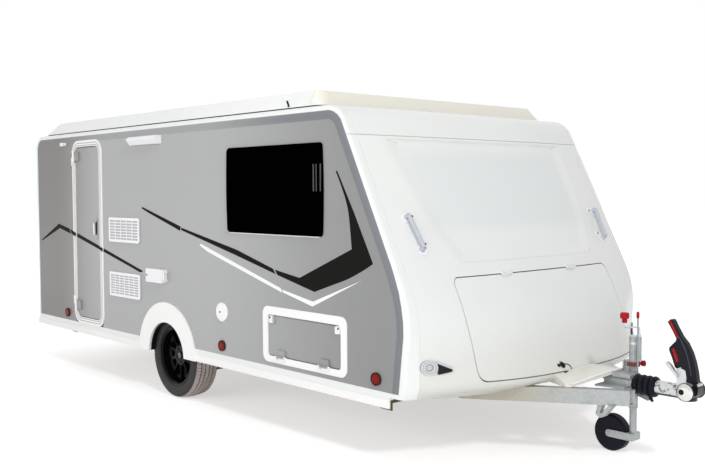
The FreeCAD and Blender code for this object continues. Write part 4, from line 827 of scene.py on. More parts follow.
def piece(name, body, finish, shells, sharp_deg=32.0):
    """One object made of shells, in one finish, carried by a CAD body."""
    points, faces = [], []
    for shell_points, shell_faces in shells:
        base = len(points)
        points += [(x + AXLE_X, y, z) for x, y, z in shell_points]
        faces += [tuple(base + i for i in face) for face in shell_faces]
    mesh = bpy.data.meshes.new(name)
    mesh.from_pydata(points, [], faces)
    work = bmesh.new()
    work.from_mesh(mesh)
    bmesh.ops.remove_doubles(work, verts=work.verts, dist=1e-6)
    bmesh.ops.recalc_face_normals(work, faces=work.faces)
    work.to_mesh(mesh)
    work.free()
    mesh.shade_smooth()
    mesh.set_sharp_from_angle(angle=math.radians(sharp_deg))
    mesh.materials.append(finish)
    made = bpy.data.objects.new(name, mesh)
    bpy.context.scene.collection.objects.link(made)
    if body:
        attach(made, body)
    return made


def flipped(shells):
    """The same shells on the other side of the vehicle."""
    return [([(x, -y, z) for x, y, z in points], faces) for points, faces in shells]


def from_axle(node):
    """A CAD node's box, measured from the axle."""
    low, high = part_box(node)
    shift = Vector((AXLE_X, 0.0, 0.0))
    return low - shift, high - shift


# Stripes: thin film on the flat sides, cut where one piece of film ends
FILM_T = 0.0004
BLACK_FILM = moulded("black film", STRIPE_BLACK, STRIPE_BLACK, 0.30, soft_edge=0.0005, gloss=0.02)
WHITE_FILM = moulded("white film", STRIPE_WHITE, STRIPE_WHITE, 0.30, soft_edge=0.0005, gloss=0.02)
HOOK_INNER = curve([(1.903, 1.118), (1.882, 1.290), (1.857, 1.377), (1.811, 1.473), (1.776, 1.534)], 4)
HOOK_OUTER = [(1.790, 1.534), (1.920, 1.317), (2.000, 1.172), (2.067, 1.049)]
HOOK_LOWER = curve([(2.067, 1.049), (1.989, 1.008), (1.869, 0.956), (1.733, 0.912), (1.591, 0.866)], 3)[1:]
BLACK_SWEEP = (
    [(-0.322, 1.309), (-0.312, 1.320), (0.198, 1.194), (0.190, 1.1645), (-0.240, 1.283)],
    [(0.205, 1.187), (0.841, 1.069), (1.213, 0.9725), (1.238, 0.9425), (0.842, 1.032), (0.200, 1.171)],
    [(1.228, 0.969), (1.459, 0.936), *HOOK_INNER, *HOOK_OUTER, *HOOK_LOWER, (1.253, 0.939)],
)
WHITE_SWEEP = (
    [(0.424, 1.079), (0.440, 1.089), (1.284, 0.864), (1.297, 0.839), (0.520, 1.040)],
    [(1.296, 0.857), (1.578, 0.811), (1.979, 0.956), (1.573, 0.783), (1.308, 0.840)],
)
REAR_PEAK = (
    [(-2.024, 1.016), (-2.020, 1.029), (-1.685, 1.169), (-1.492, 1.134), (-1.466, 1.092), (-1.668, 1.133)],
    [(-1.482, 1.132), (-0.330, 0.868), (-0.318, 0.858), (-0.360, 0.853), (-1.456, 1.094)],
)


def between(outline, low, high):
    """The part of an outline between two upright lines."""
    for limit, sign in ((low, 1.0), (high, -1.0)):
        kept = []
        for i, (x, z) in enumerate(outline):
            x0, z0 = outline[i - 1]
            inside = (x - limit) * sign >= 0.0
            was_inside = (x0 - limit) * sign >= 0.0
            if inside != was_inside:
                kept.append((limit, z0 + (z - z0) * (limit - x0) / (x - x0)))
            if inside:
                kept.append((x, z))
        outline = kept
    return outline


def film(outlines, face_y):
    """Film on the right-hand side, whose outside looks along -y."""
    return [slab(outline, "y", face_y + 0.0001, face_y - FILM_T) for outline in outlines if len(outline) > 2]


frame_low, frame_high = from_axle("door_frame")
FRAME_REAR_X = frame_low.x
FRAME_FRONT_X = frame_high.x
LEAF_REAR_X = -1.354
LEAF_FRONT_X = -0.965
LEAF_GAP = 0.0005
FRAME_GAP = 0.001
leaf_film = [between(outline, LEAF_REAR_X + LEAF_GAP, LEAF_FRONT_X - LEAF_GAP) for outline in REAR_PEAK]
rear_film = [between(outline, -3.0, FRAME_REAR_X - FRAME_GAP) for outline in REAR_PEAK]
front_film = [between(outline, FRAME_FRONT_X + FRAME_GAP, 0.0) for outline in REAR_PEAK]
for name, body, finish, shells in (
    ("black_sweep_right", "body", BLACK_FILM, film(BLACK_SWEEP, -SIDE_Y)),
    ("white_sweep_right", "body", WHITE_FILM, film(WHITE_SWEEP, -SIDE_Y)),
    ("rear_peak_right", "body", BLACK_FILM, film(rear_film + front_film, -SIDE_Y)),
    ("rear_peak_on_door", "door", BLACK_FILM, film(leaf_film, -SIDE_Y)),
    ("black_sweep_left", "body", BLACK_FILM, flipped(film(BLACK_SWEEP, -SIDE_Y))),
    ("white_sweep_left", "body", WHITE_FILM, flipped(film(WHITE_SWEEP, -SIDE_Y))),
    ("rear_peak_left", "body", BLACK_FILM, flipped(film(REAR_PEAK, -SIDE_Y))),
):
    piece(name, body, finish, shells)

# Tyres: ribs with grooves round them and blocks cut across
TYRE_W = 0.185
TREAD_HALF = 0.073
GROOVE_D = 0.007
GROOVE_LIP = 0.0012
GROOVE_FOOT = 0.0006
CROWN_DROP = 0.006
SIPE_D = 0.006
SIPE_EVERY = 5
LANE_W = 0.0300
TYRE_STEPS = 360
RIM_SEAT = 0.1905


def tyre_profile():
    """Half-round shoulders and a bead, from the inner side to the outer, as (y, radius, is a rib's top)."""
    half = TYRE_W / 2
    wall = [(-0.0765, RIM_SEAT), (-0.0765, 0.207), (-0.0855, 0.213), (-half + 0.0005, 0.228), (-half, 0.245)]
    wall.append((-half + 0.003, 0.262))
    shoulder = [(-0.0865, 0.273), (-0.080, 0.2835)]
    profile = [(y, r, False) for y, r in wall] + [(y, r, True) for y, r in shoulder]
    crown = [-TREAD_HALF]
    for y in GROOVES_Y:
        crown += [y - GROOVE_W / 2, y + GROOVE_W / 2]
    crown.append(TREAD_HALF)
    for a, b in zip(crown[::2], crown[1::2]):
        top_a = TYRE_R - CROWN_DROP * (a / TREAD_HALF) ** 2
        top_b = TYRE_R - CROWN_DROP * (b / TREAD_HALF) ** 2
        if a > -TREAD_HALF:
            profile.append((a + GROOVE_FOOT, top_a - GROOVE_D, False))
        profile += [(a + GROOVE_LIP, top_a, True), ((a + b) / 2, (top_a + top_b) / 2, True)]
        profile.append((b - GROOVE_LIP, top_b, True))
        if b < TREAD_HALF:
            profile.append((b - GROOVE_FOOT, top_b - GROOVE_D, False))
    profile += [(-y, r, cut) for y, r, cut in reversed(profile[: len(wall) + len(shoulder)])]
    return profile


def tyre(name, body, side):
    profile = tyre_profile()
    loops = []
    for k in range(TYRE_STEPS):
        turn = 2 * math.pi * k / TYRE_STEPS
        loop = []
        for y, radius, cut in profile:
            lane = int((y + 0.1) / LANE_W)
            if cut and (k + lane * 2) % SIPE_EVERY == 0:
                radius -= SIPE_D
            loop.append((radius * math.sin(turn), side * (WHEEL_Y + y), AXLE_Z + radius * math.cos(turn)))
        loops.append(loop)
    made = piece(name, body, TYRE, [skin(loops, closed=True, capped=False)], 40.0)
    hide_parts("tyre_right" if side < 0 else "tyre_left")


tyre("tyre_right_ribbed", "wheel_right", -1.0)
tyre("tyre_left_ribbed", "wheel_left", 1.0)

# Ribbed gaiter
gaiter_low, gaiter_high = from_axle("gaiter")
GAITER_RIBS = 4
RIB_STEPS = 10
RIB_FOOT = 0.74
RIB_RISE = 0.26
RIB_POWER = 0.7
GAITER_T = 0.003
SHAFT_Z = (gaiter_low.z + gaiter_high.z) / 2
gaiter_r = (gaiter_high.z - gaiter_low.z) / 2
gaiter_l = gaiter_high.x - gaiter_low.x
rib = []
for k in range(GAITER_RIBS * RIB_STEPS + 1):
    share = k / (GAITER_RIBS * RIB_STEPS)
    swell = abs(math.sin(math.pi * share * GAITER_RIBS)) ** RIB_POWER
    rib.append((share * gaiter_l, gaiter_r * RIB_FOOT + gaiter_r * RIB_RISE * swell))
rib_inside = [(along, radius - GAITER_T) for along, radius in reversed(rib)]
bellows = piece(
    "ribbed_gaiter",
    "body",
    RUBBER_BLACK,
    [lathe(rib + rib_inside, (gaiter_low.x, 0.0, SHAFT_Z), (1, 0, 0), 64)],
    50.0,
)
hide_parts("gaiter")

# Cloth bellows under the lifting roof, folded twice
cap_low, cap_high = from_axle("roof_bellows")
FOLD_DEPTH = 0.016
FOLD_ROUNDS = 16
BELLOWS_T = 0.0016
BELLOWS_GAP = 0.001
BELLOWS_INSET = 0.002


def bellows_loop(level, inset):
    outline = oblong(cap_low.x + inset, cap_low.y + inset, cap_high.x - inset, cap_high.y - inset, 0.05, 4)
    return loop_of(outline, "z", level)


loops = []
for side in (0, 1):
    order = range(FOLD_ROUNDS + 1) if side == 0 else reversed(range(FOLD_ROUNDS + 1))
    for k in order:
        share = k / FOLD_ROUNDS
        level = cap_low.z + BELLOWS_GAP + (cap_high.z - cap_low.z - 2 * BELLOWS_GAP) * share
        fold = FOLD_DEPTH * (0.5 - 0.5 * math.cos(4 * math.pi * share))
        loops.append(bellows_loop(level, BELLOWS_INSET + fold + side * BELLOWS_T))
cloth_shell = skin(loops, closed=True, capped=False)
cloth = piece("roof_bellows_cloth", None, BELLOWS_CLOTH, [cloth_shell], 60.0)
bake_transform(cloth)
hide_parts("roof_bellows")


# The bowed front: points, plates and rings that follow it
def side_line(z, inset):
    """Where the front of the side outline lies at a height, its knee rounded."""
    slant_x = KNEE_X - inset / math.cos(SLANT)
    tuck_x = KNEE_X - inset / math.cos(TUCK)
    drop = (tuck_x - slant_x) / (math.tan(SLANT) + math.tan(TUCK))
    knee_z = KNEE_Z - drop
    knee_x = tuck_x - drop * math.tan(TUCK)
    radius = KNEE_R - inset
    reach = radius * math.tan((SLANT + TUCK) / 2)
    up_x = knee_x - reach * math.sin(SLANT)
    up_z = knee_z + reach * math.cos(SLANT)
    if z >= up_z:
        return up_x - (z - up_z) * math.tan(SLANT)
    if z <= knee_z - reach * math.cos(TUCK):
        return knee_x - (knee_z - z) * math.tan(TUCK)
    rise = z - up_z + radius * math.sin(SLANT)
    return up_x - radius * math.cos(SLANT) + math.sqrt(radius**2 - rise**2)


def front_at(y, z, inset=0.0):
    """The bowed front's x at a place across and a height, set in by inset."""
    skin_x = NOSE_X - inset / math.cos(NOSE_SLANT)
    if z >= NOSE_Z:
        middle_x = skin_x - (z - NOSE_Z) * math.tan(NOSE_SLANT)
    else:
        middle_x = skin_x - NOSE_TUCK * min(1.0, (NOSE_Z - z) / (NOSE_Z - BODY_LOW)) ** 2
    side_x = side_line(z, inset)
    share = max(0.0, 1.0 - (abs(y) / SIDE_Y) ** BOW_POWER)
    return side_x + (middle_x - side_x) * share


def on_front(outline, inset):
    return [(front_at(y, z, inset), y, z) for y, z in outline]


def raised(outline, low, high):
    """A plate that follows the bowed front, from low to high above it."""
    return skin([on_front(outline, -low), on_front(outline, -high)])


def raised_ring(outer, inner, low, high):
    loops = [on_front(outer, -low), on_front(outer, -high), on_front(inner, -high), on_front(inner, -low)]
    return skin(loops, closed=True)


def fine(outline, gap):
    """The outline with its long runs divided."""
    points = []
    for i, here in enumerate(outline):
        there = outline[(i + 1) % len(outline)]
        count = max(1, math.ceil(math.dist(here, there) / gap))
        points += [tuple(a + (b - a) * k / count for a, b in zip(here, there)) for k in range(count)]
    return points


def drawn_in(outline, side, low, high):
    """A left-turning outline moved in by one distance at its sides, one at its foot and one at its top."""
    moved = []
    for i, (y, z) in enumerate(outline):
        before = Vector(outline[i - 1])
        after = Vector(outline[(i + 1) % len(outline)])
        run = (after - before).normalized()
        moved.append((y - run.y * side, z + run.x * (low if run.x > 0 else high)))
    return moved


def pair(shells):
    """The shells of the right-hand side with those of the left."""
    return shells + flipped(shells)


# The slopes round the shallow recess in the front
RECESS = ((0.612, 1.047, 0.080), (0.700, 1.215, 0.200), (0.745, 1.359, 0.300), (0.805, 1.710, 0.020))
RECESS_D = 0.009
RECESS_BACK = 0.0050
RECESS_SLOPE = (0.115, 0.050, 0.022)
RECESS_OUTER = (-0.010, -0.008, -0.006)
RECESS_INNER = (0.105, 0.042, 0.016)
half_radii = [radius for _, _, radius in RECESS]
corners = [(y, z) for y, z, _ in RECESS] + [(-y, z) for y, z, _ in reversed(RECESS)]
recess_edge = fine(rounded(corners, half_radii + half_radii[::-1], 8), 0.05)
SLOPE_STEPS = 10
loops = []
for k in range(SLOPE_STEPS + 1):
    share = k / SLOPE_STEPS
    depth = RECESS_D * share * share * (3.0 - 2.0 * share)
    step_in = drawn_in(recess_edge, *(wide * share + start for wide, start in zip(RECESS_SLOPE, RECESS_OUTER)))
    loops.append(on_front(step_in, depth - 0.0005 + 0.0010 * share))
loops.append(on_front(drawn_in(recess_edge, *RECESS_INNER), RECESS_D + RECESS_BACK))
loops.append(on_front(drawn_in(recess_edge, *RECESS_OUTER), RECESS_D + RECESS_BACK))
piece("recess_slopes", "body", FRONT_WHITE, [skin(loops, closed=True)], 40.0)

# Front lamps: pale bezel, inner ring and the bright strip above the black tail
BEZEL_LOW = 0.0070
BEZEL_HIGH = 0.0098
INNER_HIGH = 0.0092
bezel = raised_ring(circle(-LAMP_Y, LAMP_Z, 0.0380, 36), circle(-LAMP_Y, LAMP_Z, 0.0335, 36), BEZEL_LOW, BEZEL_HIGH)
ring = raised_ring(circle(-LAMP_Y, LAMP_Z, 0.0215, 32), circle(-LAMP_Y, LAMP_Z, 0.0180, 32), BEZEL_LOW, INNER_HIGH)
strip = [(-0.914, 0.5655), (-0.841, 0.5285), (-0.843, 0.5235), (-0.915, 0.5585)]
piece("lamp_bezels", "body", BRIGHT, pair([bezel]))
piece("lamp_inner_rings", "body", CAST_PALE, pair([ring]))
piece("lamp_tail_strips", "body", BRIGHT, pair([raised(strip, 0.0075, 0.0100)]))

# Lid lock with its key on a wire
LOCK_Y = -0.165
LOCK_Z = 0.483
lock_case = raised(circle(LOCK_Y, LOCK_Z, 0.0190, 24), -0.001, 0.003)
lock_core = raised(circle(LOCK_Y, LOCK_Z, 0.0150, 20), 0.002, 0.009)
lock_ear = raised(circle(LOCK_Y - 0.030, LOCK_Z + 0.001, 0.0080, 14), -0.001, 0.006)
piece("lid_lock_case", "front_locker", DULL_ROD, [lock_case])
piece("lid_lock_core", "front_locker", DARK_PARTS_AND_SHADE, [lock_core, lock_ear])
wire_line = [(-0.150, 0.486), (-0.128, 0.484), (-0.110, 0.474), (-0.106, 0.460), (-0.120, 0.448), (-0.142, 0.443)]
wire_path = curve([(front_at(y, z) + 0.007, y, z) for y, z in wire_line], 5)
piece("key_wire", "front_locker", DARK_PARTS_AND_SHADE, [hose(wire_path, 0.0021, 6)])
key_body = raised(oblong(-0.178, 0.430, -0.142, 0.450, 0.009, 4), 0.004, 0.012)
key_blade = raised([(-0.176, 0.437), (-0.206, 0.422), (-0.209, 0.426), (-0.178, 0.443)], 0.005, 0.008)
piece("key_body", "front_locker", DARK_PARTS_AND_SHADE, [key_body])
piece("key_blade", "front_locker", DULL_ROD, [key_blade])

# Grab handle pads and screws on the front
PAD_LINES = (
    ((-0.858, 1.094), (-0.820, 1.086), (-0.792, 1.118), (-0.784, 1.150), (-0.792, 1.166), (-0.812, 1.163),
     (-0.846, 1.140)),
    ((-0.884, 1.262), (-0.848, 1.256), (-0.806, 1.278), (-0.800, 1.292), (-0.810, 1.305), (-0.880, 1.302)),
)
PAD_SCREWS = ((-0.799, 1.148), (-0.817, 1.292))
pads = [raised(fine(rounded(list(line), 0.012, 5), 0.03), -0.001, 0.004) for line in PAD_LINES]
screws = [raised(circle(y, z, 0.0052, 12), 0.003, 0.0062) for y, z in PAD_SCREWS]
piece("grab_handle_pads", "body", SATIN_WHITE, pair(pads))
piece("grab_handle_screws", "body", DARK_PARTS_AND_SHADE, pair(screws))

# Road wheels: dark lip, ribs on the spokes, bolts, centre cap and valve
LIP_Y = 0.9875
HUB_FACE = WHEEL_Y + 0.042
SPOKE_FACE = WHEEL_Y + 0.038
SPOKES = 10
SPOKE_HALVES = ((0.067, 0.0085), (0.186, 0.0048))
RIB_W = 0.0028
BOLTS = 5
BOLT_RING = 0.048
OUTWARD = (0, -1, 0)
hub = (0.0, -HUB_FACE, AXLE_Z)
lip = lathe([(0.0, 0.1975), (0.0022, 0.1980), (0.0034, 0.2010), (0.0022, 0.2040), (0.0, 0.2045)],
            (0.0, -LIP_Y, AXLE_Z), OUTWARD, 96)
ribs = []
for k in range(SPOKES):
    turn = 2 * math.pi * k / SPOKES
    out = Vector((math.sin(turn), math.cos(turn)))
    side = Vector((math.cos(turn), -math.sin(turn)))
    for sign in (-1.0, 1.0):
        run = []
        for radius, half in SPOKE_HALVES:
            run += [out * radius + side * sign * half, out * radius + side * sign * (half - RIB_W)]
        outline = [(run[i].x, AXLE_Z + run[i].y) for i in (0, 2, 3, 1)]
        ribs.append(pillow(outline, "y", -SPOKE_FACE + 0.001, -SPOKE_FACE - 0.003, 0.0009, 2))
bolts = []
for k in range(BOLTS):
    turn = 2 * math.pi * (k + 0.5) / BOLTS
    place = (BOLT_RING * math.sin(turn), -HUB_FACE, AXLE_Z + BOLT_RING * math.cos(turn))
    bolts.append(lathe([(-0.001, 0.0001), (-0.001, 0.0085), (0.005, 0.0085), (0.0065, 0.0065), (0.0065, 0.0001)],
                       place, OUTWARD, 6))
cap_ring = lathe([(0.003, 0.0205), (0.006, 0.0215), (0.006, 0.0265), (0.003, 0.0270)], hub, OUTWARD, 48)
cap_disc = lathe([(0.0035, 0.0001), (0.0035, 0.0208), (0.0058, 0.0203), (0.0072, 0.0120), (0.0076, 0.0001)],
                 hub, OUTWARD, 48)
valve = hose([(0.150, -0.930, AXLE_Z - 0.098), (0.146, -0.960, AXLE_Z - 0.094)], 0.0042, 10)
WHEEL_PIECES = (
    ("wheel_lip", ALLOY_LIP, "black_alloy", [lip]),
    ("spoke_ribs", ALLOY_BLACK, "black_alloy", ribs),
    ("wheel_bolts", ALLOY_LIP, "black_alloy", bolts),
    ("wheel_cap_ring", ALLOY_BLACK, "black_alloy", [cap_ring]),
    ("wheel_cap", CAP_GREY, "bright_steel", [cap_disc]),
    ("tyre_valve", RUBBER_BLACK, "black_rubber", [valve]),
)
for wheel, on_side in (("right", list), ("left", flipped)):
    for name, finish, slot, shells in WHEEL_PIECES:
        piece(f"{name}_{wheel}", f"wheel_{wheel}", finish, on_side(shells))

# Coupling: domed friction pads, the handle's rounded shell with its red edges, and the small peg under the gaiter
PAD_Y = 0.060
PAD_PLACE = (3.262, -PAD_Y, 0.421)
HOLE_PLACE = (3.246, -PAD_Y, 0.421)
pad_dome = lathe([(-0.001, 0.0001), (-0.001, 0.0435), (0.002, 0.0430), (0.0055, 0.0370), (0.0075, 0.0220),
                  (0.0080, 0.0001)], PAD_PLACE, OUTWARD, 48)
pad_hole = lathe([(0.0, 0.0001), (0.0, 0.0140), (0.0088, 0.0140), (0.0088, 0.0001)], HOLE_PLACE, OUTWARD, 28)
pad_rim = lathe([(-0.001, 0.0432), (-0.001, 0.0462), (0.0012, 0.0462), (0.0020, 0.0432)], PAD_PLACE, OUTWARD, 48)
piece("friction_pad_domes", "body", DOME_STEEL, pair([pad_dome]))
# Painted shade: dark rims round the friction pads
piece("friction_pad_rims", "body", DARK_PARTS_AND_SHADE, pair([pad_rim]))
piece("friction_pad_holes", "body", DARK_PARTS_AND_SHADE, pair([pad_hole]))
HANDLE_OUTLINE = ((3.141, 0.757), (3.157, 0.771), (3.169, 0.769), (3.189, 0.732), (3.217, 0.687), (3.245, 0.657),
                  (3.269, 0.612), (3.285, 0.566), (3.297, 0.513), (3.303, 0.470), (3.283, 0.452), (3.244, 0.461),
                  (3.228, 0.518), (3.215, 0.538), (3.192, 0.524), (3.182, 0.534), (3.167, 0.576), (3.151, 0.612),
                  (3.151, 0.627), (3.167, 0.644), (3.186, 0.663), (3.190, 0.676), (3.170, 0.711))
shell_line = inward(list(HANDLE_OUTLINE), 0.0015)
piece("handle_shell", "body", PLASTIC, pair([pillow(shell_line, "y", -0.0150, -0.0205, 0.0045, 4)]))
RED_EDGES = (
    ((3.149, 0.761), (3.162, 0.764), (3.204, 0.687), (3.197, 0.679)),
    ((3.168, 0.623), (3.181, 0.627), (3.206, 0.565), (3.192, 0.556)),
)
SPINE = ((3.204, 0.692), (3.218, 0.676), (3.246, 0.621), (3.264, 0.560), (3.275, 0.500), (3.270, 0.500),
         (3.259, 0.559), (3.241, 0.619), (3.213, 0.672), (3.200, 0.689))
edges = [pillow(list(outline), "y", -0.0195, -0.0218, 0.0012, 2) for outline in RED_EDGES]
piece("handle_red_edges", "body", RED_PLASTIC, pair(edges))
# Painted highlight: a blue grey spine along the handle's edge
spine = pillow(list(SPINE), "y", -0.0195, -0.0215, 0.0012, 2)
piece("handle_spine", "body", SPINE_HIGHLIGHT_GREY, pair([spine]))
peg_path = curve([(3.044, -0.030, 0.372), (3.062, -0.040, 0.358), (3.080, -0.047, 0.345)], 4)
piece("shaft_peg", "body", PLASTIC, [hose(peg_path, [0.006] * 4 + [0.0075] * 5, 12)])

# Drawbar cover: its front edges rise from the arms to the middle, with a white lip, and a plate on the housing
COVER_PLAN = (
    (2.545, -0.215, 0.440), (2.660, -0.262, 0.432), (2.712, -0.279, 0.412), (2.738, -0.268, 0.408),
    (2.790, -0.160, 0.440), (2.838, -0.050, 0.466), (2.845, 0.000, 0.468), (2.838, 0.050, 0.466),
    (2.790, 0.160, 0.440), (2.738, 0.268, 0.408), (2.712, 0.279, 0.412), (2.660, 0.262, 0.432),
    (2.545, 0.215, 0.440),
)
COVER_T = 0.004
COVER_LIP = 0.020
COVER_FOOT_Z = 0.3945
COVER_LIP_X = 2.70
COVER_CROWN = (2.690, 0.0, 0.4715)
COVER_CROWN_IN = (2.690, 0.0, 0.4675)


def cover_low(x, z):
    """How low the cover's edge turns down: to the arms at its sides, and by its lip over the coupling's housing."""
    return max(z - COVER_LIP, COVER_FOOT_Z) if x > COVER_LIP_X else COVER_FOOT_Z


cover_skirt = [(x, y, cover_low(x, z)) for x, y, z in COVER_PLAN]
plan_in = inward([(x, y) for x, y, _ in COVER_PLAN], COVER_T)
cover_skirt_in = [(u, v, low[2]) for (u, v), low in zip(plan_in, cover_skirt)]
cover_top_in = [(u, v, top[2] - COVER_T) for (u, v), top in zip(plan_in, COVER_PLAN)]
count = len(COVER_PLAN)
points = [*COVER_PLAN, *cover_skirt, *cover_skirt_in, *cover_top_in, COVER_CROWN, COVER_CROWN_IN]
faces = []
for i in range(count):
    j = (i + 1) % count
    for k in range(3):
        faces.append((k * count + i, k * count + j, (k + 1) * count + j, (k + 1) * count + i))
    faces.append((i, j, 4 * count))
    faces.append((3 * count + i, 3 * count + j, 4 * count + 1))
cover = piece("drawbar_cover_moulding", "body", COVER_WHITE, [(points, faces)], 18.0)
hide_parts("drawbar_cover")
lip_points = [(x + 0.002, y, z + 0.0015) for x, y, z in COVER_PLAN[3:10]]
piece("drawbar_cover_lip", "body", SATIN_WHITE, [hose(lip_points, 0.0045, 10)])
plate_line = [(2.846, -0.050), (2.952, -0.050), (2.952, 0.050), (2.846, 0.050)]
piece("overrun_top_plate", "body", GALVANISED, [pillow(plate_line, "z", 0.440, 0.4585, 0.003, 2)])

# Jockey wheel: two-tier knob on its crank, collar and rounded top on the tube, clamp band and clamp knob.
# The brake lever stands beside it: a thin rod with a red tip
KNOB = (2.927, -0.066)
TUBE = (2.885, 0.096)
CRANK = (2.918, 0.096)
UPWARD = (0, 0, 1)
knob = lathe([(0.734, 0.0001), (0.734, 0.0120), (0.741, 0.0135), (0.754, 0.0135), (0.758, 0.0215), (0.764, 0.0235),
              (0.779, 0.0235), (0.787, 0.0200), (0.790, 0.0001)], (*KNOB, 0.0), UPWARD, 32)
crank_path = curve([(*CRANK, 0.640), (*CRANK, 0.676), (2.919, 0.088, 0.692), (2.921, 0.050, 0.698),
                    (2.926, -0.040, 0.708), (2.927, -0.062, 0.716), (*KNOB, 0.736)], 6)
crank_nut = lathe([(0.641, 0.0001), (0.641, 0.0100), (0.654, 0.0100), (0.656, 0.0001)], (*CRANK, 0.0), UPWARD, 6)
collar = lathe([(0.598, 0.0238), (0.598, 0.0262), (0.612, 0.0262), (0.612, 0.0238)], (*TUBE, 0.0), UPWARD, 40)
tube_top = lathe([(0.6395, 0.0001), (0.6395, 0.0240), (0.6440, 0.0225), (0.6475, 0.0160), (0.6485, 0.0001)],
                 (*TUBE, 0.0), UPWARD, 40)
band = lathe([(0.482, 0.0248), (0.482, 0.0345), (0.506, 0.0345), (0.506, 0.0248)], (*TUBE, 0.0), UPWARD, 40)
CLAMP_SIDE = Vector((0.669, 0.743, 0.0))
CLAMP_REACH = 0.033
clamp_foot = Vector((*TUBE, 0.494)) + CLAMP_SIDE * CLAMP_REACH
clamp_knob = lathe([(0.0, 0.0001), (0.0, 0.0080), (0.008, 0.0085), (0.010, 0.0150), (0.027, 0.0165),
                    (0.031, 0.0120), (0.032, 0.0001)], clamp_foot, CLAMP_SIDE, 20)
piece("jockey_knob", "jockey_tube", RED_PLASTIC, [knob])
crank_shells = [hose(crank_path, 0.0052, 12), crank_nut]
crank_rod = piece("jockey_crank_rod", "jockey_tube", BRIGHT, crank_shells)
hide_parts("jockey_crank")
lever_path = curve([(2.948, 0.030, 0.437), (2.948, 0.030, 0.520), (2.948, 0.030, 0.640), (2.947, 0.030, 0.758)], 5)
lever_rod = piece("brake_lever_rod", "body", DULL_ROD, [hose(lever_path, 0.0046, 12)])
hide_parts("brake_lever")
lever_tip = curve([(2.947, 0.030, 0.750), (2.947, 0.030, 0.785)], 4)
tip_radii = [0.0070, 0.0080, 0.0080, 0.0078, 0.0060]
piece("brake_lever_tip", "body", RED_PLASTIC, [hose(lever_tip, tip_radii, 14)])
piece("jockey_tube_collar", "jockey_tube", BRIGHT, [collar, tube_top])
piece("jockey_clamp_band", "body", CLAMP_RED, [band])
piece("jockey_clamp_knob", "body", RED_PLASTIC, [clamp_knob])

# Entrance door: grooves round its frame, hinge covers, film across the frame, and the handle's plate and hollow
FRAME_FACE = -SIDE_Y - 0.006
GROOVE_INSETS = (0.019, 0.037)
GROOVE_LINE = 0.005
FRAME_BOX = (-1.409, 0.392, -0.910, 1.828)


def frame_line(inset, corner):
    """A line round the door frame, set in from its outer edge."""
    rear, foot, front, top = FRAME_BOX
    return oblong(rear + inset, foot + inset, front - inset, top - inset, corner, 8)


grooves = [
    frame_ring(frame_line(inset, 0.100 - inset), frame_line(inset + GROOVE_LINE, 0.095 - inset), "y",
               FRAME_FACE + 0.001, FRAME_FACE - 0.0004)
    for inset in GROOVE_INSETS
]
piece("door_frame_groove", "body", GROOVE_GREY, grooves)
HINGE_COVERS_Z = (0.536, 1.634)
HINGE_COVER_H = 0.070
covers = [
    pillow(oblong(-1.4120, z, -1.3880, z + HINGE_COVER_H, 0.009, 4), "y",
           FRAME_FACE + 0.004, FRAME_FACE - 0.007, 0.004)
    for z in HINGE_COVERS_Z
]
piece("door_hinge_covers", "body", GLOSS_WHITE, covers)
JAMB_REAR_X = -1.361
JAMB_FRONT_X = -0.959
jambs = [between(outline, FRAME_REAR_X + FRAME_GAP, JAMB_REAR_X) for outline in REAR_PEAK]
jambs += [between(outline, JAMB_FRONT_X, FRAME_FRONT_X - FRAME_GAP) for outline in REAR_PEAK]
piece("rear_peak_on_frame", "body", BLACK_FILM, film(jambs, FRAME_FACE))
plate = pillow(oblong(-1.0440, 1.0640, -0.9960, 1.2300, 0.0235, 8), "y", -SIDE_Y + 0.0005, -SIDE_Y - 0.0048, 0.002, 2)
hollow = slab(oblong(-1.0240, 1.0980, -0.9985, 1.2020, 0.0100, 5), "y", -SIDE_Y - 0.0045, -SIDE_Y - 0.0052)
piece("door_handle_plate", "door", PLATE_GREY, [plate])
piece("door_handle_hollow", "door", DARK_PARTS_AND_SHADE, [hollow])

# Locks and keyholes on the side
LOCKER_LOCKS_X = (1.184, 1.795)
LOCKER_LOCKS_Z = 0.683


def side_disc(x, z, radius, low, high):
    return slab(circle(x, z, radius, 16), "y", -SIDE_Y - low, -SIDE_Y - high)


def side_ring(x, z, outer, inner, steps, low, high):
    return frame_ring(circle(x, z, outer, steps), circle(x, z, inner, steps), "y", -SIDE_Y - low, -SIDE_Y - high)


locker_locks = [side_disc(x, LOCKER_LOCKS_Z, 0.0065, 0.0055, 0.0070) for x in LOCKER_LOCKS_X]
piece("locker_locks", "side_locker", DARK_PARTS_AND_SHADE, locker_locks)
piece("flap_lock", "service_flap", DARK_PARTS_AND_SHADE, [side_disc(-0.200, 0.848, 0.0070, 0.0360, 0.0370)])
piece("filler_lock", "body", DARK_PARTS_AND_SHADE, [side_disc(0.672, 0.668, 0.0070, 0.0135, 0.0147)])
filler_ring = side_ring(0.683, 0.668, 0.0420, 0.0400, 40, 0.0135, 0.0144)
piece("filler_ring", "body", SILL_PALE, [filler_ring])

# Side markers: dark rubber rims
MARKERS_X = (-1.539, 0.678, 2.091)
MARKER_Z = 0.454
rims = [side_ring(x, MARKER_Z, 0.0345, 0.0305, 32, -0.001, 0.0125) for x in MARKERS_X]
piece("marker_rims", "body", RIM_BROWN, pair(rims))

# Window lips under the side windows
lip_line = oblong(0.785, 1.1700, 1.646, 1.1750, 0.002, 3)
window_lip = slab(lip_line, "y", -SIDE_Y + 0.001, -SIDE_Y - 0.010)
piece("window_lips", "body", SATIN_WHITE, pair([window_lip]))

# Roof catch: a bar and its strap on the lifting roof's leaning side
ROOF_EDGE_Y = 0.971
ROOF_TOP_Z = 1.991
ROOF_LEAN_H = 0.087
ROOF_LEAN_W = 0.037
CATCH_OUT = 0.002


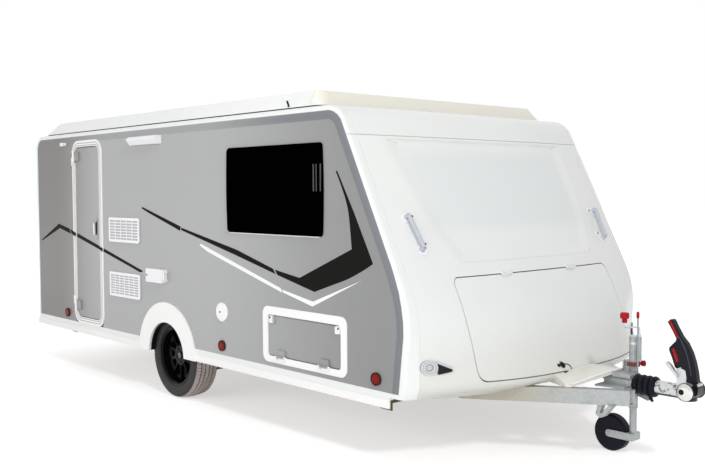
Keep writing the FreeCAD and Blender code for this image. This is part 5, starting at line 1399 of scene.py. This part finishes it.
def roof_side(x, z):
    return (x, -ROOF_EDGE_Y - (ROOF_TOP_Z - z) / ROOF_LEAN_H * ROOF_LEAN_W - CATCH_OUT, z)


catch_top = [roof_side(1.240, 1.978), roof_side(1.262, 1.962), roof_side(1.286, 1.946)]
catch_low = [roof_side(1.286, 1.946), roof_side(1.302, 1.930), roof_side(1.320, 1.911)]
piece("roof_catch_tops", "lifting_roof", SATIN_WHITE, pair([hose(catch_top, 0.0060, 10)]))
piece("roof_catch_straps", "lifting_roof", PLASTIC, pair([hose(catch_low, 0.0055, 10)]))

# Stage, light and camera
FILL_STRENGTH = 0.32


def seen_directly(tree):
    """1 for rays from the camera and for what mirrors and glass show."""
    paths = tree.nodes.new("ShaderNodeLightPath")
    share = paths.outputs["Is Camera Ray"]
    for kind in ("Is Glossy Ray", "Is Transmission Ray"):
        most = tree.nodes.new("ShaderNodeMath")
        most.operation = "MAXIMUM"
        tree.links.new(share, most.inputs[0])
        tree.links.new(paths.outputs[kind], most.inputs[1])
        share = most.outputs[0]
    return share


FLOOR_SIZE = 120.0
FLOOR_GLOW = (0.54, 0.54, 0.54)
FLOOR_GLOW_FAR = (1.0, 1.0, 1.0)
floor_finish = Finish("studio floor")
x, y, _ = floor_finish.at()
far = floor_finish.node("Math", {"operation": "SQRT"}, [x * x + y * y]).step(4.0, 12.0)
glow = floor_finish.mix(far, FLOOR_GLOW, FLOOR_GLOW_FAR)
seen = Wire(floor_finish, seen_directly(floor_finish.tree))
floor_light = floor_finish.surface(
    (0.82, 0.82, 0.82),
    Roughness=0.9,
    **{"Emission Color": floor_finish.mix(seen, (0, 0, 0), glow), "Emission Strength": 1.0},
)
floor_mesh = bpy.data.meshes.new("studio floor")
half = FLOOR_SIZE / 2
floor_mesh.from_pydata([(-half, -half, 0), (half, -half, 0), (half, half, 0), (-half, half, 0)], [], [(0, 1, 2, 3)])
floor = bpy.data.objects.new("studio floor", floor_mesh)
floor.data.materials.append(floor_light)
bpy.context.scene.collection.objects.link(floor)

world = bpy.data.worlds.new("studio")
world.use_nodes = True
bpy.context.scene.world = world
tree = world.node_tree
tree.nodes.clear()
back = tree.nodes.new("ShaderNodeBackground")
back.inputs["Color"].default_value = (1, 1, 1, 1)
fill = tree.nodes.new("ShaderNodeBackground")
fill.inputs["Color"].default_value = (0.98, 0.99, 1.0, 1)
fill.inputs["Strength"].default_value = FILL_STRENGTH
choose = tree.nodes.new("ShaderNodeMixShader")
tree.links.new(seen_directly(tree), choose.inputs[0])
tree.links.new(fill.outputs[0], choose.inputs[1])
tree.links.new(back.outputs[0], choose.inputs[2])
sky = tree.nodes.new("ShaderNodeOutputWorld")
tree.links.new(choose.outputs[0], sky.inputs[0])


def soft_light(name, place, aim, size, power):
    lamp = bpy.data.lights.new(name, "AREA")
    lamp.shape = "RECTANGLE"
    lamp.size, lamp.size_y = size
    lamp.energy = power
    made = bpy.data.objects.new(name, lamp)
    made.location = place
    made.rotation_euler = (Vector(aim) - Vector(place)).to_track_quat("-Z", "Y").to_euler()
    made.visible_glossy = False
    bpy.context.scene.collection.objects.link(made)


soft_light("ceiling light", (0.5, 0.0, 7.0), (0.0, 0.0, 0.5), (9.0, 6.0), 110.0)
soft_light("key light", (9.0, -3.8, 7.4), (0.3, -1.0, 1.0), (1.3, 1.3), 400.0)
soft_light("side light", (-0.5, -9.5, 3.0), (0.0, 0.0, 0.9), (9.0, 4.0), 318.0)
soft_light("low light", (5.5, -5.5, 0.7), (0.0, -0.9, 0.3), (4.0, 0.9), 95.0)
soft_light("rear light", (-8.0, 6.0, 4.0), (0.0, 0.0, 1.0), (6.0, 4.0), 220.0)

# The photograph's viewpoint
CAMERA_PLACE = (5.5 + AXLE_X, -4.283, 1.430)
YAW = math.radians(138.0)
PITCH = math.radians(2.8)
ROLL = math.radians(-0.3)
LENS_MM = 46.77
SENSOR_MM = 36.0

forward = Vector((math.cos(YAW) * math.cos(PITCH), math.sin(YAW) * math.cos(PITCH), -math.sin(PITCH)))
level = Vector((math.sin(YAW), -math.cos(YAW), 0.0))
upward = level.cross(forward)
right = math.cos(ROLL) * level + math.sin(ROLL) * upward
up = math.cos(ROLL) * upward - math.sin(ROLL) * level
lens_data = bpy.data.cameras.new("photo camera")
lens_data.lens = LENS_MM
lens_data.sensor_width = SENSOR_MM
lens_data.sensor_fit = "HORIZONTAL"
lens_data.clip_end = 200.0
camera = bpy.data.objects.new("photo camera", lens_data)
camera.matrix_world = Matrix(
    (
        (right.x, up.x, -forward.x, CAMERA_PLACE[0]),
        (right.y, up.y, -forward.y, CAMERA_PLACE[1]),
        (right.z, up.z, -forward.z, CAMERA_PLACE[2]),
        (0.0, 0.0, 0.0, 1.0),
    )
)
bpy.context.scene.collection.objects.link(camera)
bpy.context.scene.camera = camera
bpy.context.scene.view_settings.view_transform = "Standard"
